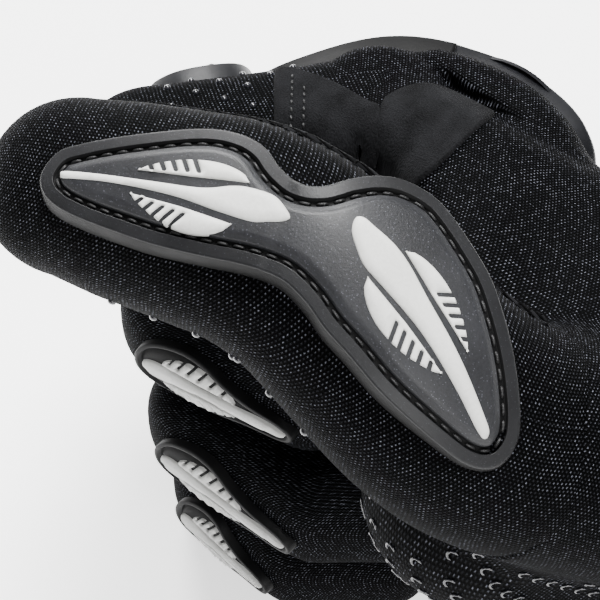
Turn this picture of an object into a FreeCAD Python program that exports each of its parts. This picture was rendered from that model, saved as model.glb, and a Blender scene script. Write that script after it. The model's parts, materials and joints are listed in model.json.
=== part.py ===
import FreeCAD, Part
import math
import os

# Right-hand riding glove, closed in a loose fist and standing on its little-finger side.
# Model frame while building: +X from the wrist to the knuckles, +Y towards the palm side,
# +Z towards the thumb side.  Every finger hinge is parallel to Z, so each finger bends
# inside a flat slab of its own.  At the end everything is moved so that the origin is the
# middle of the bounding box's bottom face.

V = FreeCAD.Vector
UP = V(0, 0, 1)

# ---- driving dimensions, millimetres and degrees ----
FABRIC = 1.8            # laminated thickness of mesh, foam and lining
SEAM_GAP = 0.25         # free space between neighbouring panels
FINGER_PITCH = 21.0     # spacing of the finger slabs along Z
FINGER_HALF_WIDTH = 10.2
CORNER = 3.2            # chamfer on the outer corners of a finger tube
TIP_LENGTH = 8.5        # rounded end beyond the last bone
GUARD_THICK = 2.2       # moulded rubber guards on the fingers
GUARD_LIFT = 0.1        # stitched guards sit just on the fabric
INSERT_THICK = 0.9      # raised light inserts on the guards
PLATE_THICK = 2.6       # thumb plate
FAR = 90.0              # size of cutting tools

# joint at the knuckle, slab height, bone lengths, bend at each joint at rest, half thickness
FINGERS = {
    "index": {"mcp": (84.5, 4.0), "z": 74.0, "bones": (37.0, 23.0, 15.0),
              "bend": (56.0, 112.0, 34.0), "half": (10.6, 10.0, 9.2)},
    "middle": {"mcp": (83.5, 1.5), "z": 53.0, "bones": (39.5, 25.0, 16.5),
               "bend": (78.0, 114.0, 38.0), "half": (10.6, 10.0, 9.2)},
    "ring": {"mcp": (82.5, 2.0), "z": 32.0, "bones": (40.0, 25.0, 16.5),
             "bend": (85.0, 99.0, 38.0), "half": (10.4, 9.8, 9.2)},
    "little": {"mcp": (77.0, 6.5), "z": 11.0, "bones": (34.0, 19.0, 13.5),
               "bend": (77.0, 102.0, 44.0), "half": (9.8, 9.4, 8.8)},
}

# thumb: joint centres and the outward normal of its guard plate
THUMB_ROOT = V(8, 12, 62)
THUMB_KNUCKLE = V(31.5, 46.5, 90)
THUMB_JOINT = V(60.0, 50.0, 106)
THUMB_END = V(88.8, 59.2, 101)
PLATE_NORMAL = V(-0.30, 0.25, 0.92)
THUMB_HALF_WIDTH = (17.0, 15.6, 14.0, 11.0)      # root, knuckle, joint, end
THUMB_HALF_THICK = (17.0, 14.6, 12.4, 10.4)
THUMB_GAP = 5.4          # bare length each side of a thumb hinge, bridged by stretch fabric

# hand shell: station along X, back and palm surface in Y, lowest and highest Z
HAND_SECTIONS = [
    (-2.0, -15.0, 24.0, 9.0, 79.0),
    (22.0, -14.5, 22.0, 2.6, 82.0),
    (44.0, -12.0, 12.0, 0.8, 84.2),
    (64.0, -12.0, 9.5, 0.8, 84.6),
    (98.0, -12.0, 9.5, 0.8, 84.6),
]
HAND_CORNER = 10.5
THENAR_CENTRE = V(28, 28, 50)      # padded ball of the thumb
THENAR_RADIUS = 15.0
SIDE_BAND = 3.5          # half height in Y of the side panels
MID_HEIGHT = 42.5        # between the middle and ring fingers
WEB_START = 46.0         # where the suede web panel takes over from the side mesh

# cuff: end station and section
CUFF_LENGTH = 56.0
CUFF_END = (-19.0, 28.0, 5.0, 83.0)
STRAP_START = 16.0       # strap position behind the wrist
STRAP_WIDTH = 25.0
STRAP_SHEET = 1.2

SHAPES = {}


def rot(deg):
    return V(math.cos(math.radians(deg)), math.sin(math.radians(deg)), 0)


def face_of(points):
    return Part.Face(Part.makePolygon(points + [points[0]]))


def prism(points, direction):
    return face_of(points).extrude(direction)


def add(name, solids):
    """One node: every solid of the given shapes, kept apart."""
    found = []
    for shape in solids:
        found.extend(shape.Solids)
    SHAPES[name] = found


# ---- finger tubes ----

def finger_joints(finger):
    """Joint centres and running directions of one finger, in its own slab."""
    centre = V(finger["mcp"][0], finger["mcp"][1], finger["z"])
    heading = 0.0
    centres = [centre]
    headings = []
    for bone, bend in zip(finger["bones"], finger["bend"]):
        heading += bend
        headings.append(heading)
        centre = centre + rot(heading) * bone
        centres.append(centre)
    return centres, headings


def sector(apex, start, stop, low, high):
    """Fan-shaped block about apex from one angle to the other, at most a half turn."""
    steps = 4
    points = [V(apex.x, apex.y, low)]
    for i in range(steps + 1):
        turn = start + (stop - start) * i / steps
        tip = apex + rot(turn) * FAR
        points.append(V(tip.x, tip.y, low))
    return prism(points, V(0, 0, high - low))


def placed(points, start, heading):
    """Cross-section points (y across, z up) set up at the start of a bone."""
    across = rot(heading + 90)
    return [start + across * y + UP * z for y, z in points]


def tube_panels(start, heading, length, half, width):
    """Four panels of a finger tube: back, palm and the two side fourchettes."""
    c = CORNER
    inner_y, inner_z = half - FABRIC, width - FABRIC
    back = [(-half, width - c), (-half, c - width), (c / 2 - half, c / 2 - width),
            (-inner_y, -inner_z), (-inner_y, inner_z), (c / 2 - half, width - c / 2)]
    side = [(c - half, width), (half - c, width), (half - c / 2, width - c / 2),
            (inner_y, inner_z), (-inner_y, inner_z), (c / 2 - half, width - c / 2)]
    outlines = [back, [(-y, z) for y, z in back], side, [(y, -z) for y, z in side]]
    run = rot(heading) * length
    return [prism(placed(outline, start, heading), run) for outline in outlines]


def tip_cap(end, heading, half, width):
    """Rounded closed end of a finger."""
    along, across = rot(heading), rot(heading + 90)
    steps = 8
    plan = []
    for i in range(steps + 1):
        turn = math.pi * (i / steps - 0.5)
        plan.append(end + along * (0.2 + TIP_LENGTH * math.cos(turn)) + across * (half * math.sin(turn))
                    - UP * width)
    block = prism(plan, UP * (2 * width))
    side = []
    for i in range(steps + 1):
        turn = math.pi * (i / steps - 0.5)
        side.append(end + along * (0.2 + 1.2 * TIP_LENGTH * math.cos(turn)) + UP * (width * math.sin(turn))
                    - across * half)
    return block.common(prism(side, across * (2 * half)))


def trimmed(shape, finger, index, centres, headings):
    """Keep the part of a bone's tube between its two mitred joint planes."""
    low = finger["z"] - FINGER_PITCH
    high = finger["z"] + FINGER_PITCH
    heading = headings[index]
    bend = finger["bend"][index]
    apex = centres[index] + rot(heading - bend / 4) * (SEAM_GAP / 2)
    shape = shape.common(sector(apex, heading - 90, heading + 90 - bend / 2, low, high))
    if index < 2:
        bend = finger["bend"][index + 1]
        apex = centres[index + 1] - rot(heading + bend / 4) * (SEAM_GAP / 2)
        shape = shape.common(sector(apex, heading + 90 + bend / 2, heading + 270, low, high))
    return shape


def stretch_arc(centre, start, stop, radius, low, high):
    """Stretch fabric lying over a bent joint."""
    margin = 3.0
    inner = Part.makeCylinder(radius - FABRIC + 0.3, high - low, V(centre.x, centre.y, low), UP)
    outer = Part.makeCylinder(radius - 0.1, high - low, V(centre.x, centre.y, low), UP)
    return outer.cut(inner).common(sector(centre, start + margin, stop - margin, low, high))


def leaf(length, width, steps=8):
    """Half-sine leaf outline from 0 to length, in (along, side) pairs."""
    top = [(length * i / steps, width / 2 * math.sin(math.pi * i / steps) ** 0.7)
           for i in range(1, steps)]
    return [(0.0, 0.0)] + top + [(length, 0.0)] + [(x, -y) for x, y in reversed(top)]


def plate_on(outline, origin, along, side, normal, lift, thick):
    """Plate of an (along, side) outline, standing on a plane through origin."""
    points = [origin + along * x + side * y + normal * lift for x, y in outline]
    return prism(points, normal * thick)


SPEAR_HEAD = 0.30        # widest place of the central insert, as a share of its length


def spear(length, width):
    """Central insert: wide pointed head near the start, long thin tail."""
    return [(0.0, 0.0), (0.10 * length, 0.34 * width), (SPEAR_HEAD * length, 0.5 * width),
            (0.52 * length, 0.2 * width), (0.97 * length, 0.07 * width), (length, 0.0),
            (0.97 * length, -0.07 * width), (0.52 * length, -0.2 * width),
            (SPEAR_HEAD * length, -0.5 * width), (0.10 * length, -0.34 * width)]


def feather(length, width, offset, sign):
    """Side insert: a bowed wing beside the central one."""
    rise = [(0.0, 0.0), (0.25, 0.75), (0.55, 1.0), (0.85, 0.7), (1.0, 0.25)]
    foot = [(0.6, 0.0)]
    return [(length * x, sign * (offset + width * y)) for x, y in rise + foot]


def finger_guards(name, finger, centres, headings):
    """Moulded guards stitched on the backs of the first two finger sections."""
    bones = finger["bones"]
    for index, bone, first, last, width in ((0, "proximal", 0.46, 0.985, 14.0),
                                            (1, "middle", 0.02, 0.98, 16.0)):
        along = rot(headings[index])
        out = rot(headings[index] - 90)
        length = bones[index] * (last - first)
        origin = centres[index] + along * (bones[index] * first) + out * finger["half"][index]
        guard = plate_on(leaf(length, width), origin, along, UP, out, GUARD_LIFT, GUARD_THICK)
        add("%s_%s_guard" % (name, bone), [guard])
        if index == 0:
            continue
        origin = origin + along * (0.08 * length)
        lift = GUARD_LIFT + GUARD_THICK
        size = 0.84 * length
        outlines = [spear(size, 4.2), feather(0.5 * size, 2.3, 2.6, 1), feather(0.5 * size, 2.3, 2.6, -1)]
        shifts = (0.0, 0.16 * size, 0.16 * size)
        inserts = [plate_on(o, origin + along * s, along, UP, out, lift, INSERT_THICK)
                   for o, s in zip(outlines, shifts)]
        add("%s_guard_inserts" % name, inserts)


def build_finger(name, finger):
    centres, headings = finger_joints(finger)
    width = FINGER_HALF_WIDTH
    for index, bone in enumerate(("proximal", "middle", "distal")):
        half = finger["half"][index]
        panels = tube_panels(centres[index], headings[index], finger["bones"][index], half, width)
        if index == 2:
            panels.append(tip_cap(centres[3], headings[2], half, width))
        panels = [trimmed(p, finger, index, centres, headings) for p in panels]
        add("%s_%s_sleeve" % (name, bone), panels)
    low = finger["z"] - width + CORNER
    high = finger["z"] + width - CORNER
    for index, joint in ((1, "pip"), (2, "dip")):
        arc = stretch_arc(centres[index], headings[index - 1] - 90, headings[index] - 90,
                          finger["half"][index], low, high)
        add("%s_%s_stretch" % (name, joint), [arc])
    finger_guards(name, finger, centres, headings)


# ---- thumb ----

def thumb_frame(start, end):
    """Running direction, outward normal and width direction of a thumb section."""
    along = (end - start).normalize()
    normal = (PLATE_NORMAL - along * PLATE_NORMAL.dot(along)).normalize()
    return along, normal, along.cross(normal)


def ring_section(centre, side, normal, half_width, half_thick):
    """Twelve-sided oval across the thumb."""
    points = []
    for i in range(12):
        turn = math.radians(30 * i + 15)
        points.append(centre + side * (half_width * math.cos(turn)) + normal * (half_thick * math.sin(turn)))
    return Part.makePolygon(points + [points[0]])


def oval_tube(start, along, side, normal, stations, closed):
    """Hollow faceted tube; each station is (distance, half width, half thickness)."""
    outer = [ring_section(start + along * s, side, normal, w, t) for s, w, t in stations]
    solid = Part.makeLoft(outer, True, True)
    inner = []
    for i, (s, w, t) in enumerate(stations):
        if i == 0:
            s -= 0.5
        elif i == len(stations) - 1:
            s += -FABRIC if closed else 0.5
        inner.append(ring_section(start + along * s, side, normal, w - FABRIC, t - FABRIC))
    return solid, Part.makeLoft(inner, True, True)


BASE_LOBE = [(-4.2, -10.5), (-10.0, -12.0), (-19.0, -9.0), (-30.0, -5.2), (-34.5, -3.2),
             (-36.5, 0.0), (-34.5, 3.2), (-28.0, 6.5), (-18.0, 10.5), (-10.0, 12.2), (-4.2, 9.0)]
TIP_LOBE = [(4.2, -8.2), (10.0, -9.2), (20.0, -8.4), (30.0, -5.8), (35.0, -3.6),
            (37.0, 0.0), (35.0, 3.2), (30.0, 5.2), (20.0, 7.6), (10.0, 9.0), (4.2, 7.6)]


def thumb_guard(name, outline, along, side, normal, half_thick, head, tail):
    """One lobe of the thumb plate with its three light inserts."""
    lobe = plate_on(outline, THUMB_JOINT, along, side, normal, half_thick + GUARD_LIFT, PLATE_THICK)
    add("thumb_guard_%s_lobe" % name, [lobe])
    lift = half_thick + GUARD_LIFT + PLATE_THICK
    reach = tail - head
    sign = 1 if reach > 0 else -1
    size = abs(reach)
    shapes = [spear(size, 6.0), feather(0.46 * size, 3.0, 3.4, 1), feather(0.46 * size, 3.0, 3.4, -1)]
    shifts = (0.0, 0.2 * size, 0.2 * size)
    solids = []
    for shape, shift in zip(shapes, shifts):
        moved = [(head + sign * (x + shift), y) for x, y in shape]
        solids.append(plate_on(moved, THUMB_JOINT, along, side, normal, lift, INSERT_THICK))
    add("thumb_%s_inserts" % name, solids)


def thumb_stretch(name, centre, before, after, half_width, half_thick):
    """Short oval band bridging a thumb hinge."""
    along = (before + after).normalize()
    normal = (PLATE_NORMAL - along * PLATE_NORMAL.dot(along)).normalize()
    side = along.cross(normal)
    reach = THUMB_GAP - 1.6
    stations = [(-reach, half_width - 2.4, half_thick - 2.4), (reach, half_width - 2.4, half_thick - 2.4)]
    solid, hollow = oval_tube(centre, along, side, normal, stations, False)
    band = solid.cut(hollow)
    barrel = Part.makeCylinder(half_thick - 2.75, 2 * FAR, centre - side * FAR, side)
    add(name, [band.common(barrel)])


def build_thumb(hand_outer):
    root, knuckle, joint, end = THUMB_ROOT, THUMB_KNUCKLE, THUMB_JOINT, THUMB_END
    w, t = THUMB_HALF_WIDTH, THUMB_HALF_THICK
    a0, n0, s0 = thumb_frame(root, knuckle)
    a1, n1, s1 = thumb_frame(knuckle, joint)
    a2, n2, s2 = thumb_frame(joint, end)

    reach = (knuckle - root).Length - THUMB_GAP - 2.0
    stations = [(0, w[0], t[0]), (reach, w[1], t[1])]
    base_solid, base_hollow = oval_tube(root, a0, s0, n0, stations, False)
    base = base_solid.cut(base_hollow).cut(hand_outer)
    add("thumb_base_sleeve", [base.common(box(SEAM_GAP, FAR, 0, FAR, 0, FAR + 40))])

    reach = (joint - knuckle).Length - THUMB_GAP
    solid, hollow = oval_tube(knuckle, a1, s1, n1, [(THUMB_GAP, w[1], t[1]), (reach, w[2], t[2])], False)
    add("thumb_proximal_sleeve", [solid.cut(hollow)])

    reach = (end - joint).Length
    stations = [(THUMB_GAP, w[2], t[2]), (reach - 4, w[3] + 1.2, t[3] + 0.6), (reach + 5, 0.8 * w[3], 0.8 * t[3]),
                (reach + 11, 0.4 * w[3], 0.4 * t[3])]
    solid, hollow = oval_tube(joint, a2, s2, n2, stations, True)
    add("thumb_distal_sleeve", [solid.cut(hollow)])

    thumb_stretch("thumb_knuckle_stretch", knuckle, a0, a1, w[1], t[1])
    thumb_stretch("thumb_joint_stretch", joint, a1, a2, w[2], t[2])
    top = max(t[1], t[2])
    thumb_guard("base", BASE_LOBE, a1, s1, n1, top, -7.0, -34.0)
    thumb_guard("tip", TIP_LOBE, a2, s2, n2, t[2], 7.0, 34.0)
    return base_hollow, base_solid


# ---- hand shell, guards and cuff ----

def round_section(x, back, palm, low, high, corner):
    """Rounded rectangle across the hand at station x."""
    corners = [(back + corner, low + corner, 180), (palm - corner, low + corner, 270),
               (palm - corner, high - corner, 0), (back + corner, high - corner, 90)]
    points = []
    for cy, cz, start in corners:
        for i in range(4):
            turn = math.radians(start + 30 * i)
            points.append(V(x, cy + corner * math.cos(turn), cz + corner * math.sin(turn)))
    return Part.makePolygon(points + [points[0]])


def shell_of(sections, corner, offset):
    wires = [round_section(x, b + offset, p - offset, lo + offset, hi - offset, corner - offset)
             for x, b, p, lo, hi in sections]
    return Part.makeLoft(wires, True, True)


def box(x0, x1, y0, y1, z0, z1):
    return Part.makeBox(x1 - x0, y1 - y0, z1 - z0, V(x0, y0, z0))


def finger_clearance():
    """Everything in front of the knuckle mitre planes, slab by slab."""
    blocks = []
    for finger in FINGERS.values():
        centres, headings = finger_joints(finger)
        bend = finger["bend"][0]
        apex = centres[0] - rot(bend / 4) * (SEAM_GAP / 2)
        low = finger["z"] - FINGER_PITCH / 2
        high = finger["z"] + FINGER_PITCH / 2
        if finger is FINGERS["index"]:
            high += FINGER_PITCH
        if finger is FINGERS["little"]:
            low -= FINGER_PITCH
        blocks.append(sector(apex, -90, 90 + bend / 2, low, high))
    return blocks


def build_hand():
    outer = shell_of(HAND_SECTIONS, HAND_CORNER, 0.0)
    inner_sections = [list(s) for s in HAND_SECTIONS]
    inner_sections[0][0] -= 0.5
    inner_sections[-1][0] += 0.5
    inner = shell_of(inner_sections, HAND_CORNER, FABRIC)
    base_hollow, base_outer = build_thumb(shell_of(HAND_SECTIONS, HAND_CORNER, -SEAM_GAP))
    shell = outer.cut(inner).cut(base_hollow)
    for block in finger_clearance():
        shell = shell.cut(block)
    shell = shell.cut(guard_sweep(KNUCKLE_RADIUS - GUARD_LIFT, KNUCKLE_THICK, KNUCKLE_LOW - 1, KNUCKLE_HIGH + 1,
                                  KNUCKLE_START, KNUCKLE_STOP))
    g = SEAM_GAP / 2
    b = SIDE_BAND
    add("back_panel", [shell.common(box(-10, FAR + 20, -40, -b - g, -10, 110))])
    add("palm_panel", [shell.common(box(-10, FAR + 20, b + g, 60, -10, 110))])
    add("ulnar_side_panel", [shell.common(box(-10, FAR + 20, -b + g, b - g, -10, MID_HEIGHT))])
    radial = shell.common(box(-10, FAR + 20, -b + g, b - g, MID_HEIGHT, 110))
    add("radial_side_panel", [radial.common(box(-10, WEB_START - g, -b, b, MID_HEIGHT, 110))])
    add("thumb_web_panel", [radial.common(box(WEB_START + g, FAR + 20, -b, b, MID_HEIGHT, 110))])
    return base_outer


def build_knuckles():
    """Stretch fabric over the bent knuckles and the moulded knuckle guard above it."""
    arcs = []
    width = FINGER_HALF_WIDTH
    for finger in FINGERS.values():
        centres, headings = finger_joints(finger)
        arcs.append(stretch_arc(centres[0], -90, headings[0] - 90, finger["half"][0],
                                finger["z"] - width + CORNER, finger["z"] + width - CORNER))
    add("knuckle_stretch_panels", arcs)


KNUCKLE_CENTRE = (70.5, 18.5)      # centre of the guard's sweep over the knuckles, in plan
KNUCKLE_RADIUS = 33.2              # its inner face
KNUCKLE_THICK = 2.3
KNUCKLE_START, KNUCKLE_STOP = -104.5, -58.0
KNUCKLE_LOW, KNUCKLE_HIGH = 4.0, 78.0


def guard_sweep(radius, thick, low, high, start, stop):
    base = V(KNUCKLE_CENTRE[0], KNUCKLE_CENTRE[1], low)
    ring = Part.makeCylinder(radius + thick, high - low, base, UP)
    ring = ring.cut(Part.makeCylinder(radius, high - low, base, UP))
    return ring.common(sector(base, start, stop, low, high))


def build_knuckle_guard():
    low, high = KNUCKLE_LOW, KNUCKLE_HIGH
    shell = guard_sweep(KNUCKLE_RADIUS, KNUCKLE_THICK, low, high, KNUCKLE_START, KNUCKLE_STOP)
    add("knuckle_guard", [shell])
    base = V(KNUCKLE_CENTRE[0], KNUCKLE_CENTRE[1], low + 4)
    crescent = Part.makeCylinder(KNUCKLE_RADIUS - 0.2, high - low - 8, base, UP)
    pad = crescent.common(box(50, 82, -30, HAND_SECTIONS[-1][1] - 0.2, 0, FAR))
    add("knuckle_foam_pad", [pad])
    caps = []
    for finger in FINGERS.values():
        caps.append(guard_sweep(KNUCKLE_RADIUS + KNUCKLE_THICK + 0.05, 1.0, finger["z"] - 6.5,
                                finger["z"] + 4.0, -84.0, -62.0))
    add("knuckle_guard_caps", caps)


def build_palm_details(thumb_base):
    """Suede heel pad and the padded ball of the thumb, both sewn on the palm beside the thumb base."""
    skin = shell_of(HAND_SECTIONS, HAND_CORNER, -1.3).cut(shell_of(HAND_SECTIONS, HAND_CORNER, -0.1))
    heel = skin.common(box(3.0, 40.0, 6.0, 60.0, 8.0, 42.0))
    add("palm_heel_pad", [heel.cut(thumb_base)])
    ball = Part.makeSphere(THENAR_RADIUS, THENAR_CENTRE)
    ball = ball.cut(shell_of(HAND_SECTIONS, HAND_CORNER, -1.4)).cut(thumb_base)
    add("palm_thenar_pad", [ball.common(box(0, FAR, 16.0, FAR, 0, FAR))])


def cuff_sections(offset):
    first = list(HAND_SECTIONS[0])
    first[0] -= SEAM_GAP
    last = [-CUFF_LENGTH] + list(CUFF_END)
    return [first, last]


def build_cuff():
    sections = cuff_sections(0)
    outer = shell_of(sections, HAND_CORNER, 0.0)
    longer = [list(s) for s in sections]
    longer[0][0] += 0.5
    longer[1][0] -= 0.5
    inner = shell_of(longer, HAND_CORNER, FABRIC)
    shell = outer.cut(inner)
    g = SEAM_GAP / 2
    y = 5.0
    add("cuff_back", [shell.common(box(-FAR, 10, -60, y - g, -20, 120))])
    add("cuff_palm", [shell.common(box(-FAR, 10, y + g, 60, -20, 120))])
    x = -CUFF_LENGTH
    edge = [[x - 3.0] + list(CUFF_END), [x - SEAM_GAP] + list(CUFF_END)]
    band = shell_of(edge, HAND_CORNER, -0.8)
    hole = [[x - 3.5] + list(CUFF_END), [x + 0.3] + list(CUFF_END)]
    add("cuff_binding", [band.cut(shell_of(hole, HAND_CORNER, FABRIC + 0.6))])


def strap_hinge():
    """Sewn line of the wrist strap: a line along X on the back of the cuff's little-finger side."""
    x = -STRAP_START - STRAP_WIDTH / 2
    back = HAND_SECTIONS[0][1] + (CUFF_END[0] - HAND_SECTIONS[0][1]) * (STRAP_START + STRAP_WIDTH / 2) / CUFF_LENGTH
    return V(x, back - 3.4 + STRAP_SHEET / 2, 22.0)


def build_strap():
    """Wrist strap lying across the back of the cuff, with its hook patch, pull tab and loop patch."""
    hinge = strap_hinge()
    x0, x1 = -STRAP_START - STRAP_WIDTH, -STRAP_START
    y = hinge.y - STRAP_SHEET / 2
    add("strap_anchor", [box(x0, x1, y, y + STRAP_SHEET, hinge.z - 9.0, hinge.z - STRAP_SHEET)])
    fold = Part.makeCylinder(STRAP_SHEET / 2, x1 - x0, V(x0, hinge.y, hinge.z), V(1, 0, 0))
    add("wrist_strap", [box(x0, x1, y, y + STRAP_SHEET, hinge.z, 70.0).fuse(fold)])
    add("strap_hook_patch", [box(x0 + 2, x1 - 2, y + STRAP_SHEET + 0.05, y + 1.9, 44.0, 68.0)])
    add("strap_pull_tab", [box(x0 + 4, x1 - 4, y - 1.8, y - 0.05, 60.0, 74.0)])
    add("cuff_loop_patch", [box(x0 + 2, x1 - 2, y + 2.0, y + 2.7, 42.0, 70.0)])


def finish():
    low = V(1e9, 1e9, 1e9)
    high = V(-1e9, -1e9, -1e9)
    for solids in SHAPES.values():
        for solid in solids:
            b = solid.BoundBox
            low = V(min(low.x, b.XMin), min(low.y, b.YMin), min(low.z, b.ZMin))
            high = V(max(high.x, b.XMax), max(high.y, b.YMax), max(high.z, b.ZMax))
    shift = V(-(low.x + high.x) / 2, -(low.y + high.y) / 2, -low.z)
    os.makedirs("parts", exist_ok=True)
    for name, solids in SHAPES.items():
        node = Part.makeCompound(solids)
        node.translate(shift)
        node.exportStep("parts/%s.step" % name)
    size = high - low
    print("nodes", len(SHAPES), "size", round(size.x, 1), round(size.y, 1), round(size.z, 1))
    print("shift", round(shift.x, 3), round(shift.y, 3), round(shift.z, 3))
    return shift


for finger_name, finger_data in FINGERS.items():
    build_finger(finger_name, finger_data)
THUMB_BASE = build_hand()
build_knuckles()
build_knuckle_guard()
build_palm_details(THUMB_BASE)
build_cuff()
build_strap()
SHIFT = finish()
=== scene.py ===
import json
import math

import bpy
import numpy as np
from mathutils import Vector
from mathutils.bvhtree import BVHTree
from mathutils.geometry import delaunay_2d_cdt
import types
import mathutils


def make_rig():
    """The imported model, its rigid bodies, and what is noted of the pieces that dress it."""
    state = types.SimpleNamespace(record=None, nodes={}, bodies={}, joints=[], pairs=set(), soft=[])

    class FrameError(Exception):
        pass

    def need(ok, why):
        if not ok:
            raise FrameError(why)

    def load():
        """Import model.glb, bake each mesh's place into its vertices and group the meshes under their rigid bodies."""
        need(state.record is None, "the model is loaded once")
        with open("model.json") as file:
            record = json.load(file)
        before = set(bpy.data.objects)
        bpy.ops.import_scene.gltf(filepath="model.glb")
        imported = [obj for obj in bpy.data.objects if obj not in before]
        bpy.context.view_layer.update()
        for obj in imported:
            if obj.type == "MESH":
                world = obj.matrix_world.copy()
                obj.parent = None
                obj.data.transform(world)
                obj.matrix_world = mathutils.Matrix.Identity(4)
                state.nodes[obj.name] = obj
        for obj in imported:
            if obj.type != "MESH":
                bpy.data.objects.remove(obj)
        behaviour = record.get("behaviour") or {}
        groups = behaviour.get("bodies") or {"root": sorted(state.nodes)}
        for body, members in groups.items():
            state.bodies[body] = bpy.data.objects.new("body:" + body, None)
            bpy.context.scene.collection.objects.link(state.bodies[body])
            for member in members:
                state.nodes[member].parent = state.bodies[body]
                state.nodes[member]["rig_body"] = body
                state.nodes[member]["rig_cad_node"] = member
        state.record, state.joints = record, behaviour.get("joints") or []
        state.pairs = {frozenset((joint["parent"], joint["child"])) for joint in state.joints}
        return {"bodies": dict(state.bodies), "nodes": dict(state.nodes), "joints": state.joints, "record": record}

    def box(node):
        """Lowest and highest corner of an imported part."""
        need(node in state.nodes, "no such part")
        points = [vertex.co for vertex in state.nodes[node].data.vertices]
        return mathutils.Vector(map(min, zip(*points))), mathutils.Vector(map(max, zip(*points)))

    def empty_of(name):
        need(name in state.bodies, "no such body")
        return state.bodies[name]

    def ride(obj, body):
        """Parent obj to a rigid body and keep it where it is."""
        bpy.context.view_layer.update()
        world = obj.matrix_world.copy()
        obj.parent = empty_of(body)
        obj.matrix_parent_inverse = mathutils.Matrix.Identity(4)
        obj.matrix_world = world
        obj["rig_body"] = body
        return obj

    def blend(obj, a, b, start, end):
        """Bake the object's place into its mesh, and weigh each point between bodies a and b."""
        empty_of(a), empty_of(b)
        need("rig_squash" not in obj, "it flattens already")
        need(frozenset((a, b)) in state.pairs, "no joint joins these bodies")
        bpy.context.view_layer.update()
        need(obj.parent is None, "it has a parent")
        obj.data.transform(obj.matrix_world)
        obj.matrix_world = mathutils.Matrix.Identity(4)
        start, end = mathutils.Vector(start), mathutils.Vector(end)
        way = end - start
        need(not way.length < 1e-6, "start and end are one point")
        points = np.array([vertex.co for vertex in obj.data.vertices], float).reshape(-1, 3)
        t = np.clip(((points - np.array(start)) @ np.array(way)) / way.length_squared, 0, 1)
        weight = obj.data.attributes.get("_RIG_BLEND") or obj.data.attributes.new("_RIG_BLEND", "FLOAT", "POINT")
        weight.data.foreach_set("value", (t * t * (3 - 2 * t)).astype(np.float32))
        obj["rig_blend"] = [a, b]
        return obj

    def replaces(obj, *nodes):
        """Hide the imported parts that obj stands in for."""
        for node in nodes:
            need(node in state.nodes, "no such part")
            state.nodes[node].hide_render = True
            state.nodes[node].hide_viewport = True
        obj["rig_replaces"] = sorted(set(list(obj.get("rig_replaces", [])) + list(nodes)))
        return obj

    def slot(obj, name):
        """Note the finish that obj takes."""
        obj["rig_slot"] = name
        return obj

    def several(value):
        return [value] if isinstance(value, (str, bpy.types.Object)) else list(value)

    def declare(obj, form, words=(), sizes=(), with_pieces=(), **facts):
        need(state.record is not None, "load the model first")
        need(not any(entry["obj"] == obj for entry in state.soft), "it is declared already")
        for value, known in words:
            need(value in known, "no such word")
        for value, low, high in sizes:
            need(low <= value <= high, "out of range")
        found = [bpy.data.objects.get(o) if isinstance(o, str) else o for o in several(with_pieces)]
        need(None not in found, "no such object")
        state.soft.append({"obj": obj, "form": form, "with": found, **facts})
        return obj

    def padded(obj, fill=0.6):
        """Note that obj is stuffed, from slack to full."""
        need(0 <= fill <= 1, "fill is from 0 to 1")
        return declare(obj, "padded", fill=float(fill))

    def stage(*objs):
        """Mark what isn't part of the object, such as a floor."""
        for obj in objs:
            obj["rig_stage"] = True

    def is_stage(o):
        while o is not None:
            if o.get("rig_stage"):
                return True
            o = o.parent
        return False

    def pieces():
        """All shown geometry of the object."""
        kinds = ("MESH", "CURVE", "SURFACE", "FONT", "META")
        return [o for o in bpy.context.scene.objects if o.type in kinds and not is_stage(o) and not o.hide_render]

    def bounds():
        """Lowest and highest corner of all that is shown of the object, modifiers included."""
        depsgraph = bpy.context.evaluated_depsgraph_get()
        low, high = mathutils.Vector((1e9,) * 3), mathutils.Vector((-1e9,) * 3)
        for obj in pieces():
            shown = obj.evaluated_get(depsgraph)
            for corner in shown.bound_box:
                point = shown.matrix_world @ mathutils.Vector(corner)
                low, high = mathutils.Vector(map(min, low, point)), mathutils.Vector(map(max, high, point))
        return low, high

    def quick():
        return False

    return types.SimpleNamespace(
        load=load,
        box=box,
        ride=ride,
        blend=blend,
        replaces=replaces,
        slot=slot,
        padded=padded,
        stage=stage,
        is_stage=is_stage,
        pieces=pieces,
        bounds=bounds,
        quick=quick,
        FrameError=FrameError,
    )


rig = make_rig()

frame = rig.load()
CAD_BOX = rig.bounds()

# All shapes are worked out in millimetres in the row frame and turned into metres when a mesh
# is made. "Hand frame" means the frame with its origin at the wrist: +X to the knuckles,
# +Y to the palm side, +Z to the thumb side; at_hand() moves a point from it to the row frame.
# Outlines are in a piece's own (a, b) plane, and a place function puts them on the glove.
MM = 0.001
JOINTS = {j["name"]: j for j in frame["joints"]}


def pivot(joint):
    return np.array(JOINTS[joint]["pos_m"], float) / MM


WRIST = pivot("index_mcp") - np.array((84.5, 4.0, 74.0))


UP = np.array((0.0, 0.0, 1.0))


def at_hand(x, y, z):
    return WRIST + np.array((x, y, z), float)


def unit(v):
    v = np.asarray(v, float)
    return v / np.linalg.norm(v)


def turned(deg):
    return np.array((math.cos(math.radians(deg)), math.sin(math.radians(deg)), 0.0))


def unit_rows(v):
    return v / np.maximum(np.linalg.norm(v, axis=1), 1e-9)[:, None]


def gap(a, b):
    return float(np.linalg.norm(b - a))


def smoothstep(t):
    t = np.clip(t, 0.0, 1.0)
    return t * t * (3 - 2 * t)


def distances(points):
    """Distance along a line at each of its points."""
    return np.concatenate([[0], np.cumsum(np.linalg.norm(np.diff(points, axis=0), axis=1))])


def sample(at, run, values):
    """Rows of values that belong to the distances run, interpolated at the distance at."""
    return np.stack([np.interp(at, run, values[:, k]) for k in range(values.shape[1])], axis=-1)


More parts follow.
